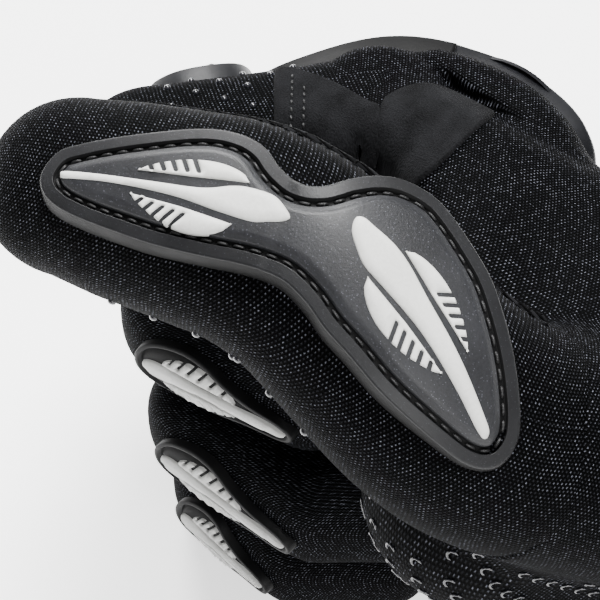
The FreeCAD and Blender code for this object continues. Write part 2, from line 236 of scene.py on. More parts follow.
def span(centre, along, before, after):
    """Start and end of a blend across a joint's centre, in metres."""
    return {"start": tuple((centre - along * before) * MM), "end": tuple((centre + along * after) * MM)}


# ---------------------------------------------------------------- materials

def node_tree(name):
    """New material: (material, its node tree, its shader)."""
    mat = bpy.data.materials.new(name)
    mat.use_nodes = True
    tree = mat.node_tree
    return mat, tree, tree.nodes["Principled BSDF"]


def add(tree, kind, **values):
    """New node with the given input values and settings."""
    node = tree.nodes.new(kind)
    for key, value in values.items():
        if key in node.inputs:
            node.inputs[key].default_value = value
        else:
            setattr(node, key, value)
    return node


def wire(tree, a, out, b, inp):
    tree.links.new(a.outputs[out], b.inputs[inp])


def ramp(tree, source, out, stops):
    """Colour ramp from (place, colour) stops."""
    node = tree.nodes.new("ShaderNodeValToRGB")
    elements = node.color_ramp.elements
    while len(elements) < len(stops):
        elements.new(0.5)
    for element, (place, colour) in zip(elements, stops):
        element.position = place
        element.color = colour
    wire(tree, source, out, node, "Fac")
    return node


def level(v):
    """Neutral colour of one brightness."""
    return (v, v, v, 1)


WHITE, BLACK = level(1), level(0)


def grey(v, blue=1.0):
    """Near-neutral colour; the photograph's blacks lean to blue."""
    return (v, v * (1 + 0.02 * blue), v * (1 + 0.12 * blue), 1)


def settings(node, **values):
    """Input values by name; an underscore in a keyword stands for a space."""
    for key, value in values.items():
        node.inputs[key.replace("_", " ")].default_value = value


def texture(tree, place, kind, **values):
    """Texture node that reads the given coordinates."""
    node = add(tree, "ShaderNodeTex" + kind, **values)
    wire(tree, place, "Vector", node, "Vector")
    return node


def two_scales(tree, fine, broad, share, low, high):
    """Colour between low and high by fine noise that is mixed with a share of broad noise."""
    both = add(tree, "ShaderNodeMix", data_type="FLOAT")
    settings(both, Factor=share)
    wire(tree, fine, "Fac", both, "A")
    wire(tree, broad, "Fac", both, "B")
    return ramp(tree, both, "Result", [low, high])


def uv_mm(tree, turn=0.0):
    """Texture coordinates in millimetres on the cloth."""
    uv = add(tree, "ShaderNodeUVMap", uv_map="UVMap")
    mapping = add(tree, "ShaderNodeMapping")
    settings(mapping, Rotation=(0, 0, turn))
    wire(tree, uv, "UV", mapping, "Vector")
    return mapping


def solid_mm(tree):
    """Texture coordinates in millimetres through the solid, for moulded parts."""
    coords = add(tree, "ShaderNodeTexCoord")
    mapping = add(tree, "ShaderNodeMapping")
    settings(mapping, Scale=(1 / MM, 1 / MM, 1 / MM))
    wire(tree, coords, "Object", mapping, "Vector")
    return mapping


def bump(tree, shader, source, out, strength, distance):
    node = add(tree, "ShaderNodeBump", Strength=strength, Distance=distance)
    wire(tree, source, out, node, "Height")
    wire(tree, node, "Normal", shader, "Normal")


def knit(name, ground, yarn, fleck, loop=0.56, row=0.50, turn=0.5, thin=0.4):
    """Knitted mesh: staggered yarn loops that stand out of dark pores; a few loops carry a painted glint."""
    mat, tree, shader = node_tree(name)
    uv = uv_mm(tree, turn)
    warp = texture(tree, uv, "Noise", Scale=0.16, Detail=2.0)
    shift = add(tree, "ShaderNodeVectorMath", operation="SCALE", Scale=0.6)
    wire(tree, warp, "Color", shift, 0)
    moved = add(tree, "ShaderNodeVectorMath", operation="ADD")
    wire(tree, uv, "Vector", moved, 0)
    wire(tree, shift, "Vector", moved, 1)
    brick = texture(tree, moved, "Brick", offset=0.5, offset_frequency=2, Scale=1.0)
    settings(brick, Color1=BLACK, Color2=WHITE, Mortar=BLACK, Mortar_Size=0.23, Mortar_Smooth=1.0,
             Brick_Width=loop, Row_Height=row)
    loops = ramp(tree, brick, "Fac", [(0.05, WHITE), (thin, level(0.2)), (0.8, BLACK)])
    # painted glint: each loop's colour runs from the yarn colour up to the glint colour
    yarn_to_glint = ramp(tree, brick, "Color", [(0.0, yarn), (0.45, yarn), (1.0, fleck)])
    cloudy = texture(tree, uv, "Noise", Scale=0.06, Detail=3.0)
    tone = ramp(tree, cloudy, "Fac", [(0.3, level(0.65)), (0.72, level(1.25))])
    mix = add(tree, "ShaderNodeMix", data_type="RGBA")
    wire(tree, loops, "Color", mix, 0)
    mix.inputs[6].default_value = ground
    wire(tree, yarn_to_glint, "Color", mix, 7)
    toned = add(tree, "ShaderNodeMix", data_type="RGBA", blend_type="MULTIPLY")
    toned.inputs[0].default_value = 0.8
    wire(tree, mix, 2, toned, 6)
    wire(tree, tone, "Color", toned, 7)
    wire(tree, toned, 2, shader, "Base Color")
    settings(shader, Roughness=0.7, Specular_IOR_Level=0.02)
    bump(tree, shader, loops, "Color", 0.9, 0.0004)
    return mat


def suede():
    """Brushed microfibre: short nap with clouded tone."""
    mat, tree, shader = node_tree("suede")
    uv = uv_mm(tree)
    fine = texture(tree, uv, "Noise", Scale=4.0, Detail=4.0)
    broad = texture(tree, uv, "Noise", Scale=0.25, Detail=3.0)
    tone = two_scales(tree, fine, broad, 0.45, (0.36, grey(0.002)), (0.68, grey(0.011)))
    wire(tree, tone, "Color", shader, "Base Color")
    settings(shader, Roughness=0.92, Sheen_Weight=0.01, Specular_IOR_Level=0.04)
    bump(tree, shader, fine, "Fac", 0.8, 0.0003)
    return mat


def moulded(name, low, high, rough, grain, bump_strength, coat=0.0, speck=None):
    """Moulded rubber or plastic with fine grain, specks and worn tone."""
    mat, tree, shader = node_tree(name)
    place = solid_mm(tree)
    fine = texture(tree, place, "Noise", Scale=grain, Detail=5.0, Roughness=0.7)
    broad = texture(tree, place, "Noise", Scale=0.12, Detail=3.0)
    tone = two_scales(tree, fine, broad, 0.4, (0.36, low), (0.66, high))
    if speck:
        dots = texture(tree, place, "Voronoi", Scale=speck[0])
        mask = ramp(tree, dots, "Distance", [(0.08, WHITE), (0.2, BLACK)])
        specked = add(tree, "ShaderNodeMix", data_type="RGBA")
        settings(specked, B=speck[1])
        wire(tree, mask, "Color", specked, "Factor")
        wire(tree, tone, "Color", specked, "A")
        wire(tree, specked, "Result", shader, "Base Color")
    else:
        wire(tree, tone, "Color", shader, "Base Color")
    worn = ramp(tree, broad, "Fac", [(0.3, level(rough - 0.06)), (0.7, level(rough + 0.08))])
    wire(tree, worn, "Color", shader, "Roughness")
    settings(shader, Specular_IOR_Level=0.12 + coat, Coat_Weight=coat * 0.8, Coat_Roughness=0.25)
    bump(tree, shader, fine, "Fac", bump_strength, 0.0001)
    return mat


def thread(name, dark, light):
    """Twisted yarn: fine bands across the thread."""
    mat, tree, shader = node_tree(name)
    place = solid_mm(tree)
    wave = texture(tree, place, "Wave", Scale=1.6, Distortion=1.5)
    tone = ramp(tree, wave, "Fac", [(0.2, dark), (0.8, light)])
    wire(tree, tone, "Color", shader, "Base Color")
    settings(shader, Roughness=0.55)
    bump(tree, shader, wave, "Fac", 0.4, 0.0001)
    return mat


def silicone():
    """Glossy dark silicone of the grip print."""
    mat, tree, shader = node_tree("silicone")
    place = solid_mm(tree)
    fine = texture(tree, place, "Noise", Scale=1.2, Detail=2.0)
    tone = ramp(tree, fine, "Fac", [(0.3, grey(0.004, 3)), (0.7, grey(0.013, 3))])
    wire(tree, tone, "Color", shader, "Base Color")
    settings(shader, Roughness=0.18, Specular_IOR_Level=0.5, Coat_Weight=0.15)
    bump(tree, shader, fine, "Fac", 0.1, 0.0001)
    return mat


# the last colour of each knit is its painted glint on the lighter loops
MESH = knit("mesh_fabric", grey(0.0002, 2), grey(0.012, 2), grey(0.10, 2))
STRETCH = knit("stretch_fabric", grey(0.0008), grey(0.004), grey(0.012), 2.4, 0.8, 0.0)
SUEDE = suede()
PLATE = moulded("plate_rubber", grey(0.004, 2), grey(0.012, 2), 0.5, 3.0, 0.6, 0.14, (2.4, grey(0.06, 2)))
RIM = moulded("rim_rubber", grey(0.0022, 2), grey(0.0052, 2), 0.5, 3.0, 0.4, 0.1, (2.6, grey(0.025, 2)))
# darker rubber: painted shade on the outer walls and in the sunk grooves of the plate, knuckle guard and lobes;
# elsewhere the rubber's own dark colour
DARK_RUBBER_AND_SHADE = moulded("wall_rubber", grey(0.0008), grey(0.0016), 0.6, 2.0, 0.2)
FINGER_RUBBER = moulded("finger_rubber", grey(0.0015), grey(0.0035), 0.45, 2.0, 0.25)
GLOSS = moulded("gloss_guard", grey(0.0025, 3), grey(0.005, 3), 0.45, 1.0, 0.08, 0.04)
INSERT = moulded("light_insert", (0.50, 0.50, 0.48, 1), (0.60, 0.60, 0.58, 1), 0.5, 2.5, 0.12)
# a dimmer copy of the light insert for the finger guards: painted shade
INSERT_SHADED = moulded("light_insert_dim", (0.36, 0.36, 0.35, 1), (0.45, 0.45, 0.44, 1), 0.5, 2.5, 0.12)
STRAP = moulded("strap_rubber", grey(0.002), grey(0.005), 0.5, 1.5, 0.3)
THREAD = thread("thread", grey(0.0008), grey(0.005))
PILE = thread("hook_pile", grey(0.0006), grey(0.0025))
SILICONE = silicone()


# ---------------------------------------------------------------- mesh helpers

def build(name, co, faces, mat, uv=None, smooth=True):
    """Object from millimetre vertices and faces; uv is per vertex or per face corner."""
    mesh = bpy.data.meshes.new(name)
    mesh.from_pydata((np.asarray(co, float) * MM).tolist(), [], [tuple(int(i) for i in f) for f in faces])
    mesh.update()
    layer = mesh.uv_layers.new(name="UVMap")
    if uv is None:
        uv = np.asarray(co, float)[:, :2]
    uv = np.asarray(uv, float)
    if len(uv) == len(mesh.vertices):
        index = np.zeros(len(mesh.loops), int)
        mesh.loops.foreach_get("vertex_index", index)
        uv = uv[index]
    layer.data.foreach_set("uv", uv.astype(np.float32).ravel())
    if smooth:
        mesh.polygons.foreach_set("use_smooth", [True] * len(mesh.polygons))
    mats = mat if isinstance(mat, (list, tuple)) else [mat]
    for m in mats:
        mesh.materials.append(m)
    mesh.validate()
    obj = bpy.data.objects.new(name, mesh)
    bpy.context.scene.collection.objects.link(obj)
    return obj


def strip(rows, cols, closed):
    """Quads of a grid of rows x cols vertices; closed joins the last column to the first."""
    faces = []
    last = cols if closed else cols - 1
    for r in range(rows - 1):
        for c in range(last):
            d = (c + 1) % cols
            faces.append((r * cols + c, r * cols + d, (r + 1) * cols + d, (r + 1) * cols + c))
    return faces


def ring_tube(name, rings, mat, v0=None, flip=False):
    """Tube through closed rings (rows, cols, 3), with uv in millimetres: around and along."""
    rings = np.asarray(rings, float)
    rows, cols, _ = rings.shape
    step = np.linalg.norm(np.diff(rings, axis=0), axis=2)
    along = np.vstack([np.zeros(cols), np.cumsum(step, axis=0)])
    if v0 is not None:
        along = along + v0
    around = np.linalg.norm(np.roll(rings, -1, axis=1) - rings, axis=2)
    mean = around.mean(axis=0)
    u = np.concatenate([[0.0], np.cumsum(mean)])
    co = rings.reshape(-1, 3)
    faces = strip(rows, cols, True)
    corner = []
    for r in range(rows - 1):
        for c in range(cols):
            d = (c + 1) % cols
            corner += [(u[c], along[r, c]), (u[c + 1], along[r, d]),
                       (u[c + 1], along[r + 1, d]), (u[c], along[r + 1, c])]
    if flip:
        faces = [f[::-1] for f in faces]
        corner = [corner[i * 4 + 3 - k] for i in range(len(faces)) for k in range(4)]
    return build(name, co, faces, mat, np.array(corner)), along[-1]


def catmull(points, per=8, closed=True):
    """Smooth curve through the points."""
    p = np.asarray(points, float)
    n = len(p)
    out = []
    for i in range(n if closed else n - 1):
        if closed:
            a, b, c, d = p[(i - 1) % n], p[i], p[(i + 1) % n], p[(i + 2) % n]
        else:
            a, b, c, d = p[max(i - 1, 0)], p[i], p[i + 1], p[min(i + 2, n - 1)]
        for k in range(per):
            t = k / per
            out.append(0.5 * (2 * b + (c - a) * t + (2 * a - 5 * b + 4 * c - d) * t * t
                              + (3 * b - a - 3 * c + d) * t ** 3))
    if not closed:
        out.append(p[-1])
    return np.array(out)


def resample(points, spacing, closed=True):
    """The same line with evenly spaced points."""
    p = np.asarray(points, float)
    if closed:
        p = np.vstack([p, p[:1]])
    run = distances(p)
    count = max(6, int(round(run[-1] / spacing)))
    out = sample(np.linspace(0, run[-1], count + 1), run, p)
    return out[:-1] if closed else out


def ccw(outline):
    """The outline in counter-clockwise order."""
    x, y = outline[:, 0], outline[:, 1]
    area = np.sum(x * np.roll(y, -1) - np.roll(x, -1) * y)
    return outline if area > 0 else outline[::-1]


def inward(outline):
    """Unit normals pointing into a counter-clockwise outline."""
    tangent = unit_rows(np.roll(outline, -1, axis=0) - np.roll(outline, 1, axis=0))
    return np.stack([-tangent[:, 1], tangent[:, 0]], axis=1)


def distance_to(outline, points):
    """Distance of each point to a closed polyline."""
    edge = np.roll(outline, -1, axis=0) - outline
    out = np.empty(len(points))
    for i, p in enumerate(points):
        t = np.clip(((p - outline) * edge).sum(1) / np.maximum((edge * edge).sum(1), 1e-12), 0, 1)
        out[i] = np.sqrt(((outline + edge * t[:, None] - p) ** 2).sum(1).min())
    return out


def inside(outline, points):
    """Which points lie inside a closed polyline."""
    x, y = points.T
    hit = np.zeros(len(points), bool)
    for (x0, y0), (x1, y1) in zip(outline, np.roll(outline, -1, axis=0)):
        hit ^= ((y0 > y) != (y1 > y)) & (x < (x1 - x0) * (y - y0) / (y1 - y0 + 1e-12) + x0)
    return hit


def relief(name, outline, offsets, profile, place, mats, grid=0.9, skirt=0.8, bands=()):
    """Moulded piece: an outline in (a, b) and a height profile by distance from the edge, set by
    place(a, b, h).

    offsets are the rings that carry the edge relief; the middle is filled with a regular grid.
    bands are (distance, material index): the material from that distance inwards."""
    outline = ccw(np.asarray(outline, float))
    normal = inward(outline)
    n = len(outline)
    rings = [outline + normal * o for o in offsets]
    flat = np.vstack([outline, *rings])
    heights = [np.full(n, -skirt)] + [np.full(n, profile(o)) for o in offsets]
    faces = strip(len(offsets) + 1, n, True)
    depth = list(np.repeat([0.0, *offsets], n))
    last = rings[-1]
    lo, hi = last.min(0), last.max(0)
    gx, gy = np.meshgrid(np.arange(lo[0], hi[0], grid), np.arange(lo[1], hi[1], grid * 0.87))
    gx = gx + (np.arange(gx.shape[0]) % 2 * grid / 2)[:, None]
    inner = np.stack([gx.ravel(), gy.ravel()], axis=1)
    inner = inner[inside(last, inner)]
    if len(inner):
        inner = inner[distance_to(last, inner) > grid * 0.4]
    base = len(flat) - n
    pool = np.vstack([last, inner]) if len(inner) else last
    edges = [(i, (i + 1) % n) for i in range(n)]
    found = delaunay_2d_cdt([Vector(p) for p in pool], edges, [list(range(n))], 1, 1e-6)
    verts, tris, origin = found[0], found[2], found[3]
    remap, extra = [], []
    for v, source in zip(verts, origin):
        if source and source[0] < n:
            remap.append(base + source[0])
        else:
            remap.append(len(flat) + len(extra))
            extra.append((v.x, v.y))
    faces += [tuple(remap[i] for i in t) for t in tris]
    if extra:
        extra = np.array(extra)
        d = distance_to(outline, extra)
        flat = np.vstack([flat, extra])
        heights.append(np.array([profile(x) for x in d]))
        depth += list(d)
    h = np.concatenate(heights)
    co = np.array([place(a, b, z) for (a, b), z in zip(flat, h)])
    obj = build(name, co, faces, mats, flat)
    depth = np.array(depth)
    for poly in obj.data.polygons:
        d = depth[list(poly.vertices)].mean()
        for start, index in bands:
            if d > start:
                poly.material_index = index
    return obj


def tube_along(points, radius, sides=8, closed=False, squash=1.0):
    """Round cord through the points, as (vertices, faces)."""
    p = np.asarray(points, float)
    n = len(p)
    tangent = unit_rows(np.roll(p, -1, axis=0) - np.roll(p, 1, axis=0) if closed else np.gradient(p, axis=0))
    ref = np.array((0.31, 0.22, 0.93))      # any direction that isn't along the cord's start
    co = []
    for i in range(n):
        side = unit(np.cross(tangent[i], ref))
        up = np.cross(side, tangent[i])
        ref = up
        shrink = 0.35 if not closed and i in (0, n - 1) else 1.0
        for k in range(sides):
            turn = 2 * math.pi * k / sides
            co.append(p[i] + (side * math.cos(turn) + up * math.sin(turn) * squash) * radius * shrink)
    faces = strip(n, sides, True)
    if closed:
        faces += [((n - 1) * sides + k, (n - 1) * sides + (k + 1) % sides, (k + 1) % sides, k)
                  for k in range(sides)]
    else:
        faces.append(tuple(range(sides))[::-1])
        faces.append(tuple((n - 1) * sides + k for k in range(sides)))
    return np.array(co), faces


def merge(parts):
    """One (vertices, faces) pair from several."""
    faces, base = [], 0
    for co, part in parts:
        faces += [tuple(i + base for i in face) for face in part]
        base += len(co)
    return np.vstack([co for co, _ in parts]), faces


def stitches(path, normals, length, rest, radius, closed=True):
    """Lock stitches: short threads that dive into the cloth at both ends."""
    p = np.asarray(path, float)
    nn = np.asarray(normals, float)
    if closed:
        p = np.vstack([p, p[:1]])
        nn = np.vstack([nn, nn[:1]])
    run = distances(p)
    count = max(1, int(run[-1] / (length + rest)))
    lift = radius * np.array([-1.2, 0.35, 0.8, 0.8, 0.35, -1.2])
    parts = []
    for i in range(count):
        at = run[-1] / count * i + np.linspace(0, length, len(lift))
        parts.append(tube_along(sample(at, run, p) + sample(at, run, nn) * lift[:, None], radius, 6))
    return merge(parts)


def bumps(centres, normals, radius, height):
    """Small domes standing on a surface."""
    sides = 10
    profile = ((0.55, 0.83), (0.85, 0.52), (1.0, 0.0), (1.0, -0.4))      # shares of radius and height
    parts = []
    for c, n in zip(centres, normals):
        side = unit(np.cross(n, (0.3, 0.2, 0.9)))
        up = np.cross(n, side)
        co = [c + n * height]
        faces = []
        for r, h in profile:
            for k in range(sides):
                turn = 2 * math.pi * k / sides
                co.append(c + (side * math.cos(turn) + up * math.sin(turn)) * radius * r + n * height * h)
        for k in range(sides):
            faces.append((0, 1 + k, 1 + (k + 1) % sides))
        for ring in range(len(profile) - 1):
            for k in range(sides):
                a = 1 + ring * sides + k
                b = 1 + ring * sides + (k + 1) % sides
                faces.append((a, a + sides, b + sides, b))
        parts.append((np.array(co), faces))
    return merge(parts)


def surface_of(objects):
    """Ray-cast tree over finished pieces, in millimetres."""
    parts = []
    for obj in objects:
        co = np.zeros(len(obj.data.vertices) * 3)
        obj.data.vertices.foreach_get("co", co)
        parts.append((co.reshape(-1, 3) / MM, [tuple(p.vertices) for p in obj.data.polygons]))
    co, faces = merge(parts)
    return BVHTree.FromPolygons(co.tolist(), faces)


def cast(tree, origin, direction, reach=200.0):
    """First hit from origin: (point, outward normal), or None."""
    hit = tree.ray_cast(Vector(origin), Vector(direction), reach)
    if hit[0] is None:
        return None
    normal = np.array(hit[1])
    if normal @ np.asarray(direction) > 0:
        normal = -normal
    return np.array(hit[0]), normal


# ---------------------------------------------------------------- camera, light, floor

CAMERA_OFFSET = np.array((-123.6, 145.5, 199.8))     # from the index knuckle, millimetres
CAMERA_DIP = math.radians(52.0)
CAMERA_HEADING = -46.0
CAMERA_LENS = 105.0
SENSOR_WIDTH = 36.0
# lights: name, place from the middle of the CAD box in metres, size, power
LIGHTS = (("key", (0.06, -0.16, 0.88), 0.42, 27.0), ("fill", (-0.75, 0.45, 0.50), 0.6, 9.0),
          ("rim", (0.65, -0.35, 0.5), 0.4, 14.0))
FLOOR_HALF = 3000.0
FLOOR_DROP = 0.1


def make_camera():
    """The photograph's view: from above the thumb, down onto the index knuckle."""
    data = bpy.data.cameras.new("camera")
    data.lens = CAMERA_LENS
    data.sensor_width = SENSOR_WIDTH
    camera = bpy.data.objects.new("camera", data)
    bpy.context.scene.collection.objects.link(camera)
    eye = pivot("index_mcp") + CAMERA_OFFSET
    look = turned(CAMERA_HEADING) * math.cos(CAMERA_DIP) - UP * math.sin(CAMERA_DIP)
    camera.location = Vector(eye * MM)
    camera.rotation_euler = Vector(look).to_track_quat("-Z", "Y").to_euler()
    bpy.context.scene.camera = camera


def area_light(name, where, target, size, power):
    """Round soft light that faces the target."""
    data = bpy.data.lights.new(name, "AREA")
    data.shape = "DISK"
    data.size = size
    data.energy = power
    light = bpy.data.objects.new(name, data)
    light.location = Vector(where)
    aim = Vector(target) - Vector(where)
    light.rotation_euler = aim.to_track_quat("-Z", "Y").to_euler()
    bpy.context.scene.collection.objects.link(light)


def make_lights():
    """Three soft lights and an even white surround."""
    centre = (Vector(CAD_BOX[0]) + Vector(CAD_BOX[1])) / 2
    for name, where, size, power in LIGHTS:
        area_light(name, centre + Vector(where), centre, size, power)
    world = bpy.data.worlds.new("studio")
    world.use_nodes = True
    settings(world.node_tree.nodes["Background"], Color=WHITE, Strength=0.4)
    bpy.context.scene.world = world


def make_floor():
    """Plain pale floor, a hair below the glove."""
    corners = ((-1, -1), (1, -1), (1, 1), (-1, 1))
    co = [(x * FLOOR_HALF, y * FLOOR_HALF, -FLOOR_DROP) for x, y in corners]
    mat, _, shader = node_tree("floor")
    settings(shader, Base_Color=level(0.95), Emission_Color=WHITE, Emission_Strength=1.2, Roughness=0.9)
    floor = build("floor", co, [(0, 1, 2, 3)], mat, smooth=False)
    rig.stage(floor)


make_camera()
make_lights()
make_floor()


# ---------------------------------------------------------------- fingers

FINGERS = ("index", "middle", "ring", "little")
AROUND = 56
SECTION_POWER = 2.7
HALF_WIDTH = 10.2
BEND_REACH = 1.6           # the cloth bends this far before and after a finger joint's centre
HALF = {"index": (10.6, 10.0, 9.2), "middle": (10.6, 10.0, 9.2),
        "ring": (10.4, 9.8, 9.2), "little": (9.8, 9.4, 8.8)}
TIP_BONE = {"index": 15.0, "middle": 16.5, "ring": 16.5, "little": 13.5}
TIP_ROUND = 8.5
KNUCKLES = {f: pivot(f + "_mcp") - WRIST for f in FINGERS}      # in the hand frame
KNUCKLE_HEIGHTS = [KNUCKLES[f][2] for f in reversed(FINGERS)]


def finger_line(name):
    """Joint centres from the knuckle to the last bone's end, and each bone's heading."""
    points = [pivot(name + "_" + j) for j in ("mcp", "pip", "dip")]
    headings = [0.0]
    for a, b in zip(points, points[1:]):
        headings.append(math.degrees(math.atan2(b[1] - a[1], b[0] - a[0])) % 360.0)
    dip_bend = -JOINTS[name + "_dip"]["range_deg"][0]
    headings.append(headings[-1] + dip_bend)
    points.append(points[-1] + turned(headings[-1]) * TIP_BONE[name])
    return points, headings


def superellipse(count, power):
    """Unit cross-section: (side, across) pairs, side along Z and across from back to palm."""
    out = []
    for k in range(count):
        turn = 2 * math.pi * k / count
        c, s = math.cos(turn), math.sin(turn)
        out.append((math.copysign(abs(s) ** (2 / power), s), -math.copysign(abs(c) ** (2 / power), c)))
    return np.array(out)


SECTION = superellipse(AROUND, SECTION_POWER)


# along a joint's half: the share that dives into the crease, then the straight palm line
DIVE, LINE = 0.55, 0.45
JOINT_ROWS = 14            # rings on each side of a joint's middle
ROW_GAP = 0.9              # distance between rings on the straight stretches
CREASE_ROOM = 2.5          # length that a bone keeps between the creases at its ends
TIP_TAG = 9
TIP_ROWS = 14


def joint_rows(i, points, headings, t_in, t_out, room):
    """Rows about joint i, where the half thickness goes from t_in to t_out.

    The back point follows an arc and the palm point dives into the crease towards the joint's
    centre, so that the cloth opens flat when the joint straightens."""
    h0, h1 = headings[i], headings[i + 1]
    mid = (h0 + h1) / 2
    half_bend = math.radians(abs(h1 - h0) / 2)
    reach = min((t_in + t_out) / 2, room / math.tan(half_bend)) / math.cos(half_bend)
    inner = -turned(mid - 90)
    corner = points[i] + inner * reach
    fold = points[i] + inner * min((t_in + t_out) / 2, reach) * 0.98
    rows = []
    for k in range(-JOINT_ROWS, JOINT_ROWS + 1):
        u = k / JOINT_ROWS
        thick = t_in + (t_out - t_in) * (u + 1) / 2
        back = points[i] + turned(mid - 90 + u * (h1 - h0) / 2) * thick
        # palm side: along the palm line, round the corner, then down to the fold
        v = abs(u)
        sign = (k > 0) - (k < 0)
        run = 3.4 * max(0.0, (v - DIVE) / LINE)
        dive = smoothstep(1 - v / DIVE)
        lip = turned(mid) * sign * (0.35 + 1.2 * dive * (1 - dive) * 2)
        fade = 1 - (v - DIVE) / LINE if v > DIVE else 1
        palm = corner + turned(h0 if u < 0 else h1) * sign * run + (fold - corner) * dive + lip * fade
        rows.append((back, palm, i, u))
    return rows


def finger_rings(name):
    """Rows of (back point, palm point, tag, share) along the finger; the tag is the joint's number,
    a half between two joints, or TIP_TAG on the rounded tip."""
    points, headings = finger_line(name)
    half = HALF[name]
    bones = np.linalg.norm(np.diff(points, axis=0), axis=1)
    room = (math.inf, bones[:2].min() * 0.5 - CREASE_ROOM, bones[1:3].min() * 0.5 - CREASE_ROOM)
    joints = [joint_rows(i, points, headings, half[max(i - 1, 0)], half[i], room[i]) for i in range(3)]
    end, across, along = points[3], turned(headings[3] + 90), turned(headings[3])
    rows = []
    for i in range(3):
        rows += joints[i]
        back0, palm0 = joints[i][-1][:2]
        back1, palm1 = joints[i + 1][0][:2] if i < 2 else (end - across * half[2], end + across * half[2])
        count = max(8, int(gap(back0, back1) / ROW_GAP))
        for k in range(1, count + (i == 2)):
            f = k / count
            pinch = 1 - 0.035 * math.sin(math.pi * f)
            b = back0 + (back1 - back0) * f
            p = palm0 + (palm1 - palm0) * f
            m = (b + p) / 2
            rows.append((m + (b - m) * pinch, m + (p - m) * pinch, i + 0.5, f))
    for k in range(1, TIP_ROWS + 1):
        angle = math.pi / 2 * k / TIP_ROWS
        shrink = math.cos(angle) ** 0.75 if k < TIP_ROWS else 0.02
        centre = end + along * TIP_ROUND * math.sin(angle)
        rows.append((centre - across * half[2] * shrink, centre + across * half[2] * shrink, TIP_TAG, shrink))
    return rows, points, headings


def ring_points(back, palm, width):
    """Ring of the finger's section between a back point and a palm point."""
    return (back + palm) / 2 + SECTION[:, 1:2] * (palm - back) / 2 + SECTION[:, 0:1] * UP * width


def section_bodies(name):
    """The bodies from the hand to the finger's tip."""
    return ["hand"] + [name + "_" + part + "_section" for part in ("proximal", "middle", "distal")]


def make_finger(name):
    """Three skins, each crossing one joint, cut at the middle of a bone."""
    rows, points, headings = finger_rings(name)
    rings = []
    for back, palm, tag, f in rows:
        width = HALF_WIDTH - 0.1
        if tag == TIP_TAG:
            width *= f
        elif tag in (0.5, 1.5, 2.5):
            width *= 1 - 0.02 * math.sin(math.pi * f)
        rings.append(ring_points(back, palm, width))
    rings = np.array(rings)
    tags = [r[2] for r in rows]
    cuts = [0]
    for bone in (0.5, 1.5):
        found = [i for i, t in enumerate(tags) if t == bone]
        cuts.append(found[len(found) // 2])
    cuts.append(len(rows) - 1)
    bodies = section_bodies(name)
    skins = []
    v0 = None
    for i in range(3):
        part = rings[cuts[i]:cuts[i + 1] + 1]
        label = ("knuckle", "joint", "tip")[i]
        skin, v0 = ring_tube("%s_%s_skin" % (name, label), part, MESH, v0=v0)
        skins.append(skin)
    for i, skin in enumerate(skins):
        h0, h1 = headings[i], headings[i + 1]
        across = turned((h0 + h1) / 2)
        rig.blend(skin, bodies[i], bodies[i + 1], **span(points[i], across, BEND_REACH, BEND_REACH))
        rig.slot(skin, "mesh_fabric")
    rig.replaces(skins[0], name + "_proximal_sleeve")
    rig.replaces(skins[1], name + "_middle_sleeve", name + "_pip_stretch")
    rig.replaces(skins[2], name + "_distal_sleeve", name + "_dip_stretch")
    return skins, points, headings


def mirrored(shape, length, spacing):
    """Smooth closed outline from (share of length, half width) pairs, the same on both sides."""
    top = [(x * length, y) for x, y in shape]
    return resample(catmull(top + [(x, -y) for x, y in reversed(top) if y > 0.05], 6), spacing)


# outlines on the fingers: (share of length, half width)
FISH = [(0.0, 0.0), (0.03, 3.0), (0.12, 5.4), (0.28, 6.5), (0.43, 6.1), (0.57, 4.4), (0.72, 3.0),
        (0.9, 2.3), (0.98, 1.3), (1.0, 0.0)]
ALMOND = [(0.0, 0.0), (0.05, 3.6), (0.2, 6.2), (0.45, 7.2), (0.7, 6.4), (0.9, 4.0), (0.98, 2.0), (1.0, 0.0)]
DART = [(0.0, 0.0), (0.015, 0.8), (0.06, 1.6), (0.14, 1.85), (0.27, 1.35), (0.42, 1.0), (0.6, 1.1),
        (0.78, 1.15), (0.92, 0.9), (0.985, 0.5), (1.0, 0.0)]


def finger_place(centre, heading, half, start):
    """Place function: (along, side, height) on the back of a finger section, curved round it."""
    along = turned(heading)
    out = turned(heading - 90)

    def place(a, b, h):
        fall = 0.42 * (abs(b) / HALF_WIDTH) ** 2.4 * half
        return centre + along * (start + a) + UP * b + out * (half + h - fall)
    return place


def feather_outline(tip, end, bulge, teeth=5, slot=0.4, start=0.5):
    """Bowed wing from tip to end; its outer edge is cut into teeth towards the end."""
    tip, end = np.array(tip, float), np.array(end, float)
    along = end - tip
    length = np.linalg.norm(along)
    along /= length
    side = np.array((-along[1], along[0])) * (1 if bulge > 0 else -1)
    bulge = abs(bulge)

    def edge(x):
        return bulge * (math.sin(math.pi * min(1, x) ** 0.8) ** 0.7) if 0 < x < 1 else 0.0
    pts = []
    for k in range(1, 10):
        x = start * k / 9
        pts.append((x * length, edge(x)))
    span = (0.97 - start) / teeth
    for k in range(teeth):
        x0 = start + span * k
        x1 = x0 + span
        lean = 0.35 * edge(x0)
        cut = slot / length
        deep = 0.22 * edge((x0 + x1) / 2) + 0.1
        pts.append((x0 * length + lean * 0.2, edge(x0) * 0.98))
        pts.append((x0 * length - lean, deep))
        pts.append(((x0 + cut) * length - lean, deep))
        pts.append(((x0 + cut) * length + lean * 0.2, edge(x0 + cut)))
        pts.append(((x0 + 0.5 * (cut + span)) * length, edge(x0 + span * 0.6) * 1.02))
    pts.append((length, 0.05))
    pts.append((0.5 * length, -0.05 * bulge))
    pts.append((0.0, 0.0))
    return np.array([tip + along * x + side * y for x, y in pts])


def insert_profile(height, edge):
    """Low dome that reaches its height at the given distance from the edge."""
    def profile(d):
        return height * min(1.0, 0.35 + 0.65 * math.sin(min(1.0, d / edge) * math.pi / 2))
    return profile


